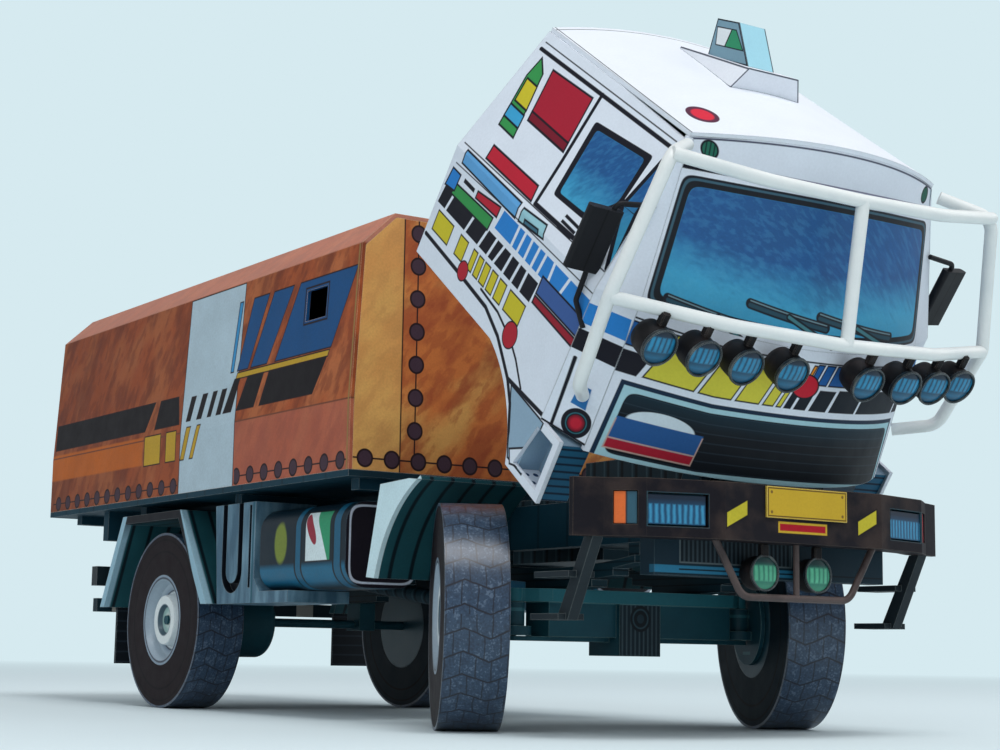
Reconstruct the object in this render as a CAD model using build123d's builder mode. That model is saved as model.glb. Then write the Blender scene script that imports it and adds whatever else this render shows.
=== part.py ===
from build123d import *
from math import cos, radians, sin
import os

# Main sizes of the card truck, in millimetres, +Z up, with its front towards -Y
front_axle_y = -65.23
wheelbase = 123.3
rear_axle_y = front_axle_y + wheelbase
card = 0.8

# Wheels and steering
tyre_radius = 19.4
tyre_width = 10.8
rim_radius = 10.0
rear_wheel_x = 31.3
kingpin_x = 25.5
front_wheel_offset = 8.0
steer_right = 28.0
steer_left = 21.0
stub_radius = 1.0
stub_clearance = 0.05
kingpin_radius = 0.5
knuckle_radius = 1.9
drum_radius = 7.7
spring_seat_z = 24.4

# Tilting cab, drawn closed and then turned forward about its hinge
cab_tilt = 38.0
hinge_y = front_axle_y - 37.7
hinge_z = 52.0
hinge_pin_radius = 0.7
cab_half_width = 37.0
cab_rear_y = front_axle_y + 25.2
cab_floor_z = 45.0
cab_belt_z = 66.5
cab_roof_z = 91.2
cab_roof_half_width = 27.4
cab_roof_crown = 3.4
roof_front_y = front_axle_y - 27.3
roof_front_z = 92.7
roof_front_crown = 4.8
screen_top_z = 87.2
screen_top_crown = 2.6
arch_radius = 26.3
step_bottom_z = 31.0

# Cargo body with its tarpaulin cover
cargo_front_y = front_axle_y + 36.5
cargo_rear_y = front_axle_y + 191.3
cargo_bottom_z = 45.6
cargo_half_width = 38.5
cargo_fold_z = 60.2
cargo_side_top_z = 90.5
cargo_side_top_x = 36.8
cargo_roof_z = 97.2
cargo_roof_x = 29.7

# Frame and running gear
rail_x = 12.5
rail_width = 3.0
rail_bottom_z = 32.0
rail_top_z = 40.0
bumper_bottom_z = 31.3
bumper_top_z = 40.4

os.makedirs("parts", exist_ok=True)
cab_hinge = Axis((0, hinge_y, hinge_z), (1, 0, 0))


# Frame: two side rails, each with a raised strip under the load body
rail_front_y = front_axle_y - 41.6
rail_rear_y = cargo_rear_y - 6.0
rail_inner_x = rail_x - rail_width / 2
rail_outer_x = rail_x + rail_width / 2
bearer_z = cargo_bottom_z - 2.2
with BuildPart() as frame_rails:
    for side in (-1, 1):
        with BuildSketch(Plane.YZ.offset(side * rail_x - rail_width / 2)):
            with BuildLine():
                Polyline(
                    (rail_front_y, rail_bottom_z), (rail_rear_y, rail_bottom_z), (rail_rear_y, bearer_z),
                    (cargo_front_y, bearer_z), (cargo_front_y, rail_top_z), (rail_front_y, rail_top_z), close=True,
                )
            make_face()
        extrude(amount=rail_width)
frame_rails.part.label = "frame_rails"
export_step(frame_rails.part, "parts/frame_rails.step")

# Cross members between the rails, bed bearers over them, and brackets for tanks and lockers
cross_member_places = (-39, 48, 75, 110, 140, 180)
bearer_places = (40, 90, 140, 180)
bracket_places = ((44, 7.0), (66, 7.0), (80.5, 9.0), (91, 9.0))
with BuildPart() as cross_members:
    for offset_y in cross_member_places:
        with Locations((0, front_axle_y + offset_y, (rail_bottom_z + rail_top_z) / 2)):
            Box(2 * rail_inner_x, 3, 5)
    for offset_y in bearer_places:
        with Locations((0, front_axle_y + offset_y, (bearer_z + cargo_bottom_z) / 2)):
            Box(70, 3, cargo_bottom_z - bearer_z)
    for side in (-1, 1):
        for offset_y, reach in bracket_places:
            with Locations((side * (rail_outer_x + reach / 2), front_axle_y + offset_y, 36)):
                Box(reach, 3, 4)
        with Locations((side * (rail_outer_x + 11.0), front_axle_y + 160, 42.1)):
            Box(22, 3, 2 * (cargo_bottom_z - 42.1))
cross_members.part.label = "cross_members"
export_step(cross_members.part, "parts/cross_members.step")


# Cargo body: floor, folded cover with one cut window, front and rear walls
def cargo_outline():
    Polyline(
        (-cargo_half_width, cargo_bottom_z), (-cargo_half_width, cargo_fold_z),
        (-cargo_side_top_x, cargo_side_top_z), (-cargo_roof_x, cargo_roof_z),
        (cargo_roof_x, cargo_roof_z), (cargo_side_top_x, cargo_side_top_z),
        (cargo_half_width, cargo_fold_z), (cargo_half_width, cargo_bottom_z), close=True,
    )


cargo_length = cargo_rear_y - cargo_front_y
with BuildPart() as cargo_cover:
    with BuildSketch(Plane.XZ.offset(-cargo_rear_y)):
        with BuildLine():
            cargo_outline()
        make_face()
        offset(amount=-card, mode=Mode.SUBTRACT)
        with Locations((0, cargo_bottom_z)):
            Rectangle(2 * cargo_half_width, 2.6, mode=Mode.SUBTRACT)
    extrude(amount=cargo_length)
    with BuildSketch(Plane.YZ.offset(-cargo_half_width - 1)):
        with Locations((front_axle_y + 53.3, 81)):
            Rectangle(8.4, 6.2)
    extrude(amount=6, mode=Mode.SUBTRACT)
cargo_cover.part.label = "cargo_cover"
export_step(cargo_cover.part, "parts/cargo_cover.step")

with BuildPart() as cargo_floor:
    with Locations((0, (cargo_front_y + cargo_rear_y) / 2, cargo_bottom_z + 0.65)):
        Box(2 * cargo_half_width, cargo_length, 1.3)
cargo_floor.part.label = "cargo_floor"
export_step(cargo_floor.part, "parts/cargo_floor.step")

for name, wall_y in (("cargo_front_wall", cargo_front_y + card), ("cargo_rear_wall", cargo_rear_y)):
    with BuildPart() as cargo_wall:
        with BuildSketch(Plane.XZ.offset(-wall_y)):
            with BuildLine():
                cargo_outline()
            make_face()
            offset(amount=-card, mode=Mode.REPLACE)
            with Locations((0, cargo_bottom_z)):
                Rectangle(2 * cargo_half_width, 2.6, mode=Mode.SUBTRACT)
        extrude(amount=card)
    cargo_wall.part.label = name
    export_step(cargo_wall.part, f"parts/{name}.step")


# Bumper: a box bent in plan with recessed lamp pockets
def bumper_outline(outer, inner):
    points = [(x, front_axle_y + y) for x, y in outer]
    points += [(x, front_axle_y + y) for x, y in inner]
    Polyline(*points, close=True)


bumper_front = [(-39.7, -36.6), (-35.2, -38.6), (-30.0, -42.6), (-17.0, -46.0), (17.0, -46.0),
                (30.0, -42.6), (35.2, -38.6), (39.7, -36.6)]
bumper_back = [(39.7, -35.6), (33.0, -35.8), (28.0, -38.6), (17.0, -41.6), (-17.0, -41.6), (-28.0, -38.6),
               (-33.0, -35.8), (-39.7, -35.6)]
with BuildPart() as bumper:
    with BuildSketch(Plane.XY.offset(bumper_bottom_z)):
        with BuildLine():
            bumper_outline(bumper_front, bumper_back)
        make_face()
    extrude(amount=bumper_top_z - bumper_bottom_z)
    for side in (-1, 1):
        with Locations(Location((side * 24.8, front_axle_y - 44.0, 35.6), (0, 0, side * 14.7))):
            Box(10.4, 3.0, 5.2, mode=Mode.SUBTRACT)
        with Locations(Location((side * 32.6, front_axle_y - 40.6, 35.8), (0, 0, side * 37.6))):
            Box(3.8, 1.6, 5.2, mode=Mode.SUBTRACT)
bumper.part.label = "bumper"
export_step(bumper.part, "parts/bumper.step")

# Lamp strips at the back of the pockets: headlamps and corner indicators
with BuildPart() as headlamps:
    for side in (-1, 1):
        with Locations(Location((side * 24.8, front_axle_y - 43.2, 35.6), (0, 0, side * 14.7))):
            Box(9.8, 1.0, 4.6)
        with Locations(Location((side * 32.3, front_axle_y - 40.2, 35.8), (0, 0, side * 37.6))):
            Box(3.6, 0.4, 5.0)
headlamps.part.label = "headlamps"
export_step(headlamps.part, "parts/headlamps.step")

with BuildPart() as number_plate:
    with Locations((0, front_axle_y - 46.2, 37.7)):
        Box(17.4, 0.4, 5.0)
number_plate.part.label = "number_plate"
export_step(number_plate.part, "parts/number_plate.step")

with BuildPart() as fog_lamps:
    for x in (-5.8, 5.8):
        with Locations(Location((x, front_axle_y - 40.8, 26.6), (90, 0, 0))):
            Cylinder(3.0, 4.0)
        with Locations((x, front_axle_y - 42.2, (29.0 + bumper_bottom_z) / 2)):
            Box(1.6, 1.2, bumper_bottom_z - 29.0)
fog_lamps.part.label = "fog_lamps"
export_step(fog_lamps.part, "parts/fog_lamps.step")

# Bent guard tube round the fog lamps, with a centre post
guard_y = front_axle_y - 43.6
guard_low_z = 22.6
with BuildPart() as lamp_guard:
    with BuildLine() as guard_path:
        FilletPolyline(
            (-17.5, guard_y, bumper_bottom_z + 0.8), (-11.6, guard_y, guard_low_z), (11.6, guard_y, guard_low_z),
            (17.5, guard_y, bumper_bottom_z + 0.8), radius=3.0,
        )
    with BuildSketch(Plane(origin=(-17.5, guard_y, bumper_bottom_z + 0.8), z_dir=guard_path.line % 0)):
        Circle(0.6)
    sweep(path=guard_path.line)
    with Locations((0, guard_y, (guard_low_z + bumper_bottom_z) / 2)):
        Cylinder(0.5, bumper_bottom_z - guard_low_z)
    with Locations((0, guard_y, bumper_bottom_z + 2.0)):
        Box(40, 3, 4.0, mode=Mode.SUBTRACT)
lamp_guard.part.label = "lamp_guard"
export_step(lamp_guard.part, "parts/lamp_guard.step")


# Steps hung from the bumper ends
with BuildPart() as bumper_steps:
    for side in (-1, 1):
        with BuildSketch(Plane.YZ.offset(side * 35.5 - 1)):
            with BuildLine():
                Polyline(
                    (front_axle_y - 37.5, bumper_bottom_z), (front_axle_y - 35.2, bumper_bottom_z),
                    (front_axle_y - 28.0, 18.5), (front_axle_y - 31.0, 18.5), close=True,
                )
            make_face()
        extrude(amount=2)
        for step_y, step_z, step_depth in ((-28.6, 25.6, 9.4), (-26.8, 19.0, 7.6)):
            with Locations((side * 35.5, front_axle_y + step_y, step_z)):
                Box(5.0, step_depth, 1.0)
bumper_steps.part.label = "bumper_steps"
export_step(bumper_steps.part, "parts/bumper_steps.step")


# Front axle: body, top beam with rounded ends, foot plates, kingpin wires and differential block
axle_body_z = (16.2, 22.1)
beam_outline = [(20.5, -4.6), (22.5, -3.4), (24.2, -1.5), (27.0, 0), (24.2, 1.5), (22.5, 3.4), (20.5, 4.6)]
foot_z = (15.4, 16.2)
with BuildPart() as front_axle:
    with Locations((0, front_axle_y, sum(axle_body_z) / 2)):
        Box(41, 7, axle_body_z[1] - axle_body_z[0])
    with Locations((-1.3, front_axle_y, 17.7)):
        Box(9.2, 9.0, 9.4)
    with BuildSketch(Plane.XY.offset(axle_body_z[1])):
        with BuildLine():
            Polyline(
                *[(x, front_axle_y + y) for x, y in beam_outline],
                *[(-x, front_axle_y - y) for x, y in beam_outline], close=True,
            )
        make_face()
        with Locations((kingpin_x, front_axle_y), (-kingpin_x, front_axle_y)):
            Circle(1.5)
    extrude(amount=spring_seat_z - axle_body_z[1])
    with BuildSketch(Plane.XY.offset(foot_z[0])):
        with Locations((0, front_axle_y)):
            Rectangle(2 * kingpin_x, 3.0)
        with Locations((kingpin_x, front_axle_y), (-kingpin_x, front_axle_y)):
            Circle(1.5)
    extrude(amount=foot_z[1] - foot_z[0])
    for side in (-1, 1):
        with Locations((side * kingpin_x, front_axle_y, (foot_z[0] + spring_seat_z) / 2)):
            Cylinder(kingpin_radius, spring_seat_z - foot_z[0])
front_axle.part.label = "front_axle"
export_step(front_axle.part, "parts/front_axle.step")

# Rear axle: rod with spring pads, a stub for each wheel and the round differential housing
rear_wheel_inner_x = rear_wheel_x - tyre_width / 2
rear_wheel_outer_x = rear_wheel_x + tyre_width / 2
spring_x = 14.5
with BuildPart() as rear_axle:
    with Locations(Location((0, rear_axle_y, tyre_radius), (0, 90, 0))):
        Cylinder(stub_radius, 2 * rear_wheel_outer_x - 2.0)
    for side in (-1, 1):
        with Locations((side * spring_x, rear_axle_y, (18.0 + spring_seat_z) / 2)):
            Box(4.2, 6.0, spring_seat_z - 18.0)
    with BuildSketch(Plane.YZ.offset(-24.6)):
        with Locations((rear_axle_y, tyre_radius)):
            Circle(8.0)
        with Locations((rear_axle_y, spring_seat_z + 4)):
            Rectangle(20, 8, mode=Mode.SUBTRACT)
    extrude(amount=13.0)
    fillet(rear_axle.edges().filter_by(GeomType.CIRCLE).sort_by(Axis.X).group_by(SortBy.RADIUS)[-1][-1], radius=2.0)
rear_axle.part.label = "rear_axle"
export_step(rear_axle.part, "parts/rear_axle.step")

# Leaf spring packs between each axle and the rails, with their shackles
leaf_thickness = 1.3
leaf_rise = 1.5
leaf_lengths = (20, 32, 44)
with BuildPart() as leaf_springs:
    for axle_y in (front_axle_y, rear_axle_y):
        for side in (-1, 1):
            with BuildSketch(Plane.YZ.offset(side * spring_x - 1.7)):
                for leaf, length in enumerate(leaf_lengths):
                    middle_z = spring_seat_z + leaf * leaf_thickness
                    end_z = middle_z + leaf_rise * (length / leaf_lengths[-1]) ** 2
                    with BuildLine():
                        for z in (0, leaf_thickness):
                            ThreePointArc((axle_y - length / 2, end_z + z), (axle_y, middle_z + z),
                                          (axle_y + length / 2, end_z + z))
                        for end_y in (axle_y - length / 2, axle_y + length / 2):
                            Line((end_y, end_z), (end_y, end_z + leaf_thickness))
                    make_face()
            extrude(amount=3.4)
            for end_y in (-20.5, 20.5):
                with Locations((side * 14.0, axle_y + end_y, 30.6)):
                    Box(2.4, 3.0, 2.8)
leaf_springs.part.label = "leaf_springs"
export_step(leaf_springs.part, "parts/leaf_springs.step")

# Engine, gearbox and propeller shafts between the rails
with BuildPart() as engine:
    with Locations((0, front_axle_y - 16, 39.5)):
        Box(2 * rail_x - rail_width, 30, 15)
    with Locations((0, front_axle_y + 14, 36)):
        Box(14, 30, 12)
engine.part.label = "engine"
export_step(engine.part, "parts/engine.step")

with BuildPart() as propeller_shaft:
    with Locations(Location((0, (front_axle_y + 40 + rear_axle_y - 4) / 2, 26), (90 + 7.0, 0, 0))):
        Cylinder(1.6, rear_axle_y - front_axle_y - 46)
    with Locations((0, front_axle_y + 36, 33)):
        Box(12, 14, 10)
propeller_shaft.part.label = "propeller_shaft"
export_step(propeller_shaft.part, "parts/propeller_shaft.step")

with BuildPart() as radiator:
    with Locations((0, front_axle_y - 34.5, 38.0)):
        Box(2 * rail_inner_x, 3, 16)
    with Locations((0, front_axle_y - 36.4, 28.9)):
        Box(50, 3.6, 2 * (rail_bottom_z - 28.9))
radiator.part.label = "radiator"
export_step(radiator.part, "parts/radiator.step")


# Hinge brackets standing on the front ends of the rails, with one cross pin
with BuildPart() as cab_hinge_brackets:
    for side in (-1, 1):
        with BuildSketch(Plane.YZ.offset(side * rail_x - 1.0)):
            with BuildLine():
                Polyline(
                    (hinge_y + 2.4, rail_top_z), (hinge_y + 8.0, rail_top_z), (hinge_y + 1.8, hinge_z),
                    (hinge_y - 1.8, hinge_z), (hinge_y - 0.2, hinge_z - 4.5), (hinge_y + 1.5, hinge_z - 9.0),
                    close=True,
                )
            make_face()
            with Locations((hinge_y, hinge_z)):
                Circle(1.8)
        extrude(amount=2.0)
    with Locations(Location((0, hinge_y, hinge_z), (0, 90, 0))):
        Cylinder(hinge_pin_radius, 34)
cab_hinge_brackets.part.label = "cab_hinge_brackets"
export_step(cab_hinge_brackets.part, "parts/cab_hinge_brackets.step")


# Mudguards: a curved sheet behind each front wheel, an angled arch over each rear wheel
with BuildPart() as front_mudguards:
    for side in (-1, 1):
        inner_x = 14.0 if side > 0 else -38.0
        with BuildSketch(Plane.YZ.offset(inner_x)):
            with BuildLine():
                for radius in (arch_radius, arch_radius + card):
                    CenterArc((front_axle_y, tyre_radius), radius, 15, 50)
                for angle in (15, 65):
                    Line(*[
                        (front_axle_y + r * cos(radians(angle)), tyre_radius + r * sin(radians(angle)))
                        for r in (arch_radius, arch_radius + card)
                    ])
            make_face()
        extrude(amount=24.0)
        with BuildSketch(Plane.YZ.offset(side * 38.4 - 0.4)):
            with BuildLine():
                arc = CenterArc((front_axle_y, tyre_radius), arch_radius, 15, 50)
                Polyline(arc @ 1, (front_axle_y + 14, 43.6), (front_axle_y + 24, 43.2), (front_axle_y + 28.4, 26.5),
                         arc @ 0)
            make_face()
        extrude(amount=card)
front_mudguards.part.label = "front_mudguards"
export_step(front_mudguards.part, "parts/front_mudguards.step")

rear_arch_outer = [(-25.8, 22.6), (-11.0, bearer_z), (21.5, bearer_z), (33.3, 22.6)]
rear_arch_inner = [(30.8, 22.6), (20.0, 41.6), (-9.7, 41.6), (-22.8, 22.6)]
with BuildPart() as rear_mudguards:
    for side in (-1, 1):
        inner_x = 24.0 if side > 0 else -38.0
        with BuildSketch(Plane.YZ.offset(inner_x)):
            with BuildLine():
                Polyline(*[(rear_axle_y + y, z) for y, z in rear_arch_outer + rear_arch_inner], close=True)
            make_face()
        extrude(amount=14.0)
rear_mudguards.part.label = "rear_mudguards"
export_step(rear_mudguards.part, "parts/rear_mudguards.step")

with BuildPart() as mudflaps:
    for side in (-1, 1):
        with Locations((side * 29.3, rear_axle_y + 31.8, 16.0)):
            Box(10.0, card, 13.2)
mudflaps.part.label = "mudflaps"
export_step(mudflaps.part, "parts/mudflaps.step")


# Side lockers with a round-ended recess and two slots in the outer face
locker_bottom_z = 22.5
locker_top_z = 43.3
with BuildPart() as side_lockers:
    for side in (-1, 1):
        with BuildSketch(Plane.YZ.offset(side * 30.0 - 7.0)):
            with BuildLine():
                Polyline(
                    (front_axle_y + 62.5, locker_bottom_z), (front_axle_y + 94.5, locker_bottom_z),
                    (front_axle_y + 96.5, locker_top_z), (front_axle_y + 77.5, locker_top_z),
                    (front_axle_y + 77.5, 27.5), (front_axle_y + 75.0, 24.9),
                    (front_axle_y + 62.5, 24.9), close=True,
                )
            make_face()
        extrude(amount=14.0)
        with BuildSketch(Plane.YZ.offset(side * 36.3 - 1.0)):
            with Locations((front_axle_y + 88.0, 37.5)):
                SlotCenterToCenter(16.0, 9.6, rotation=90)
                SlotCenterToCenter(16.0, 5.4, rotation=90, mode=Mode.SUBTRACT)
            with Locations((front_axle_y + 79.8, 34.2)):
                Rectangle(1.0, 17.0)
        extrude(amount=2.0, mode=Mode.SUBTRACT)
side_lockers.part.label = "side_lockers"
export_step(side_lockers.part, "parts/side_lockers.step")

with BuildPart() as fuel_tanks:
    with BuildSketch(Plane.XZ.offset(-(front_axle_y + 75.0))):
        for side in (-1, 1):
            with Locations((side * 29.0, 33.2)):
                RectangleRounded(16.0, 16.4, 4.5)
    extrude(amount=35.5)
fuel_tanks.part.label = "fuel_tanks"
export_step(fuel_tanks.part, "parts/fuel_tanks.step")

# Underrun bar and lamp bar hung from the rails, with a lamp box at each end
underrun_y = front_axle_y + 161.0
with BuildPart() as rear_underrun_bar:
    with Locations((0, underrun_y, 23.2)):
        Box(75, 2.4, 3.2)
    with Locations((0, underrun_y, 30.1)):
        Box(64, 2.0, 2.4)
    for side in (-1, 1):
        with Locations((side * rail_x, underrun_y, (23.2 + rail_bottom_z) / 2)):
            Box(2.4, 2.4, rail_bottom_z - 23.2)
rear_underrun_bar.part.label = "rear_underrun_bar"
export_step(rear_underrun_bar.part, "parts/rear_underrun_bar.step")

with BuildPart() as rear_lamps:
    for side in (-1, 1):
        with Locations((side * 35.0, underrun_y, 30.1)):
            Box(6, 3.2, 4.6)
rear_lamps.part.label = "rear_lamps"
export_step(rear_lamps.part, "parts/rear_lamps.step")


# Wheels: one tyre ring and one dished rim, placed at each hub
with BuildPart() as tyre:
    with BuildSketch(Plane.XY):
        Circle(tyre_radius)
        Circle(rim_radius, mode=Mode.SUBTRACT)
    extrude(amount=tyre_width / 2, both=True)

with BuildPart() as rim:
    with BuildSketch(Plane.XZ):
        half = tyre_width / 2
        bore = stub_radius + stub_clearance
        with BuildLine():
            Polyline(
                (bore, -half), (rim_radius, -half), (rim_radius, half), (rim_radius - 1.0, half),
                (rim_radius - 1.8, half - 2.4), (6.0, half - 3.0), (5.4, half - 0.6), (3.4, half - 0.6),
                (3.0, half - 1.6), (bore, half - 1.6), close=True,
            )
        make_face()
    revolve(axis=Axis.Z)


def hub_location(side, steer):
    angle = radians(steer)
    x = side * (kingpin_x + front_wheel_offset * cos(angle))
    y = front_axle_y - side * front_wheel_offset * sin(angle)
    return Location((x, y, tyre_radius)) * Rotation(0, 0, -steer) * Rotation(0, side * 90, 0)


wheel_places = (
    ("front_right", hub_location(-1, steer_right)),
    ("front_left", hub_location(1, steer_left)),
    ("rear_right", Location((-rear_wheel_x, rear_axle_y, tyre_radius), (0, -90, 0))),
    ("rear_left", Location((rear_wheel_x, rear_axle_y, tyre_radius), (0, 90, 0))),
)
for place_name, place in wheel_places:
    for piece, source in (("tyre", tyre), ("rim", rim)):
        wheel_piece = source.part.moved(place)
        wheel_piece.label = f"{piece}_{place_name}"
        export_step(wheel_piece, f"parts/{piece}_{place_name}.step")


# Steering knuckles: a sleeve and foot disc on the kingpin wire, the stub axle and the brake plate
knuckle_low_z = foot_z[1] + 0.1 - tyre_radius
knuckle_top_z = axle_body_z[1] - 0.1 - tyre_radius
stub_length = front_wheel_offset + tyre_width / 2 - 1.0
for name, side, steer in (("right", -1, steer_right), ("left", 1, steer_left)):
    with BuildPart() as knuckle:
        with Locations((0, 0, (knuckle_low_z + knuckle_top_z) / 2)):
            Cylinder(knuckle_radius, knuckle_top_z - knuckle_low_z)
        with Locations(Location((side * stub_length / 2, 0, 0), (0, 90, 0))):
            Cylinder(stub_radius, stub_length)
        with Locations(Location((side * 2.1, 0, 0), (0, 90, 0))):
            Cylinder(drum_radius, card)
        with BuildSketch(Plane.XY.offset(knuckle_low_z)):
            Circle(3.1)
            with Locations((side * 3.4, 0)):
                Rectangle(2.0, 8.0, mode=Mode.SUBTRACT)
        extrude(amount=1.6)
        with Locations((0, 0, (knuckle_low_z + knuckle_top_z) / 2)):
            Cylinder(kingpin_radius + stub_clearance, knuckle_top_z - knuckle_low_z + 1.0, mode=Mode.SUBTRACT)
    turned = knuckle.part.moved(Location((side * kingpin_x, front_axle_y, tyre_radius), (0, 0, -steer)))
    turned.label = f"knuckle_{name}"
    export_step(turned, f"parts/knuckle_{name}.step")


# Cab, drawn closed: bent side panels with the wheel arch and the step opening
def save_tilted(piece, node_name, neighbours=()):
    piece.part = piece.part.rotate(cab_hinge, cab_tilt)
    for neighbour in neighbours:
        piece.part = piece.part - neighbour.part
    piece.part.label = node_name
    export_step(piece.part, f"parts/{node_name}.step")


def cab_point(offset_y, z):
    return (front_axle_y + offset_y, z)


arch_floor_y = -(arch_radius**2 - (cab_floor_z - tyre_radius) ** 2) ** 0.5
arch_step_y = -(arch_radius**2 - (step_bottom_z - tyre_radius) ** 2) ** 0.5
arch_middle_y = -arch_radius * cos(radians(45))
arch_middle_z = tyre_radius + arch_radius * sin(radians(45))
cab_front_y = front_axle_y - 36.0
with BuildPart() as cab_sides:
    with BuildSketch(Plane.XZ.offset(-cab_rear_y)):
        for side in (-1, 1):
            with BuildLine():
                Polyline(
                    (side * cab_half_width, step_bottom_z), (side * cab_half_width, cab_belt_z),
                    (side * cab_roof_half_width, cab_roof_z), (side * (cab_roof_half_width - card), cab_roof_z),
                    (side * (cab_half_width - card), cab_belt_z), (side * (cab_half_width - card), step_bottom_z),
                    close=True,
                )
            make_face()
    extrude(amount=cab_rear_y - cab_front_y)
    with BuildSketch(Plane.YZ.offset(-cab_half_width - 1)):
        with BuildLine():
            Polyline(
                cab_point(arch_floor_y, cab_floor_z), (cab_rear_y, cab_floor_z), (cab_rear_y, cab_roof_z - card),
                cab_point(-20.9, roof_front_z - card), cab_point(-27.0, cab_belt_z),
                cab_point(-27.5, 42.4), cab_point(-34.4, 42.4), cab_point(-35.0, step_bottom_z),
                cab_point(arch_step_y, step_bottom_z),
            )
            ThreePointArc(
                cab_point(arch_step_y, step_bottom_z), cab_point(arch_middle_y, arch_middle_z),
                cab_point(arch_floor_y, cab_floor_z),
            )
        make_face()
    extrude(amount=2 * cab_half_width + 2, mode=Mode.INTERSECT)
    with BuildSketch(Plane.YZ.offset(-cab_half_width - 1)):
        with BuildLine():
            Polyline(
                cab_point(-25.4, 32.6), cab_point(-33.4, 32.6), cab_point(-33.0, 41.0), cab_point(-27.6, 41.0),
                close=True,
            )
        make_face()
    extrude(amount=2 * cab_half_width + 2, mode=Mode.SUBTRACT)
save_tilted(cab_sides, "cab_sides")

# Step boxes behind the openings at the foot of each side panel
with BuildPart() as cab_steps:
    for side in (-1, 1):
        centre_x = side * (cab_half_width - card - 3.0)
        with Locations((centre_x, front_axle_y - 29.6, 36.3)):
            Box(6.0, 8.8, 10.6)
        with Locations((centre_x + side * 0.8, front_axle_y - 29.6, 36.3)):
            Box(4.4, 7.2, 9.0, mode=Mode.SUBTRACT)
save_tilted(cab_steps, "cab_steps")

# Corner panels from the side folds to the bowed front
corner_levels = (
    (42.4, (37.0, -27.5), (32.4, -34.9)),
    (cab_belt_z, (37.0, -27.0), (30.5, -31.0)),
    (screen_top_z, (29.0, -21.8), (27.4, -23.0)),
    (roof_front_z - card, (27.4, -20.5), (26.5, -21.7)),
)
with BuildPart() as cab_corners:
    for side in (-1, 1):
        for lower, upper in zip(corner_levels, corner_levels[1:]):
            for z, (back_x, back_y), (front_x, front_y) in (lower, upper):
                with BuildSketch(Plane.XY.offset(z)):
                    with BuildLine():
                        Polyline(
                            (side * back_x, front_axle_y + back_y), (side * front_x, front_axle_y + front_y),
                            (side * front_x, front_axle_y + front_y + card),
                            (side * (back_x - card), front_axle_y + back_y), close=True,
                        )
                    make_face()
            loft(ruled=True)
save_tilted(cab_corners, "cab_corners", (cab_sides,))


# Bowed front: each band is a strip lofted between two heights
def bowed_strip(half_width, end_height, middle_height, thickness):
    for height in (0, thickness):
        ThreePointArc(
            (-half_width, end_height + height), (0, middle_height + height), (half_width, end_height + height)
        )
    for end in (-half_width, half_width):
        Line((end, end_height), (end, end_height + thickness))


def crowned_region(half_width, end_height, middle_height, far_height):
    ThreePointArc((-half_width, end_height), (0, middle_height), (half_width, end_height))
    Polyline((half_width, end_height), (half_width, far_height), (-half_width, far_height),
             (-half_width, end_height))


front_bands = (
    ("cab_front_panel", (41.6, 32.4, -35.0, -46.8), (cab_belt_z, 30.5, -31.0, -38.9)),
    ("windscreen", (cab_belt_z, 30.5, -31.0, -38.9), (90.5, 27.0, -21.7, -29.2)),
    ("cab_header", (86.5, 27.5, -23.3, -30.4), (98.5, 26.2, -18.5, -27.0)),
)
lower_edges = {
    "cab_front_panel": (32.4, 41.6, 44.6),
    "cab_header": (28.0, screen_top_z, screen_top_z + screen_top_crown),
}
upper_edges = {
    "windscreen": (28.0, screen_top_z, screen_top_z + screen_top_crown),
    "cab_header": (27.4, roof_front_z - card, roof_front_z + roof_front_crown - card),
}
placed_bands = []
for node_name, lower, upper in front_bands:
    with BuildPart() as band:
        for z, corner_x, corner_y, middle_y in (lower, upper):
            with BuildSketch(Plane.XY.offset(z)):
                with BuildLine():
                    bowed_strip(corner_x, front_axle_y + corner_y, front_axle_y + middle_y, card)
                make_face()
        loft(ruled=True)
        for edges, far_z in ((lower_edges, 30.0), (upper_edges, 105.0)):
            if node_name in edges:
                with BuildSketch(Plane.XZ.offset(-front_axle_y)):
                    with BuildLine():
                        crowned_region(*edges[node_name], far_z)
                    make_face()
                extrude(amount=60, mode=Mode.SUBTRACT)
    save_tilted(band, node_name, (cab_corners, cab_sides, *placed_bands))
    placed_bands.append(band)

# Crowned roof sheet: higher and more bent at the front, where it follows the bowed header
roof_ends = (
    (-cab_rear_y, cab_roof_half_width, cab_roof_z, cab_roof_crown),
    (-roof_front_y, 26.9, roof_front_z + 0.2, roof_front_crown - 0.2),
)
with BuildPart() as cab_roof:
    for plane_offset, half_width, side_z, crown in roof_ends:
        with BuildSketch(Plane.XZ.offset(plane_offset)):
            with BuildLine():
                bowed_strip(half_width, side_z - card, side_z + crown - card, card)
            make_face()
    loft(ruled=True)
    with BuildSketch(Plane.XY.offset(cab_roof_z - 2)):
        with BuildLine():
            ThreePointArc((-27.5, front_axle_y - 20.8), (0, roof_front_y), (27.5, front_axle_y - 20.8))
            Polyline((27.5, front_axle_y - 20.8), (27.5, cab_rear_y), (-27.5, cab_rear_y),
                     (-27.5, front_axle_y - 20.8))
        make_face()
    extrude(amount=10, mode=Mode.INTERSECT)
save_tilted(cab_roof, "cab_roof", (cab_corners, cab_sides, *placed_bands))

# Rear wall, floor with the engine tunnel, and the hinge ears
inner_x = cab_half_width - card
with BuildPart() as cab_rear_wall:
    with BuildSketch(Plane.XZ.offset(-cab_rear_y)):
        with BuildLine():
            ThreePointArc((-26.3, cab_roof_z - card), (0, cab_roof_z + cab_roof_crown - card),
                          (26.3, cab_roof_z - card))
            Polyline((26.3, cab_roof_z - card), (inner_x, cab_belt_z), (inner_x, cab_floor_z),
                     (-inner_x, cab_floor_z), (-inner_x, cab_belt_z), (-26.3, cab_roof_z - card))
        make_face()
    extrude(amount=card)
save_tilted(cab_rear_wall, "cab_rear_wall")

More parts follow.
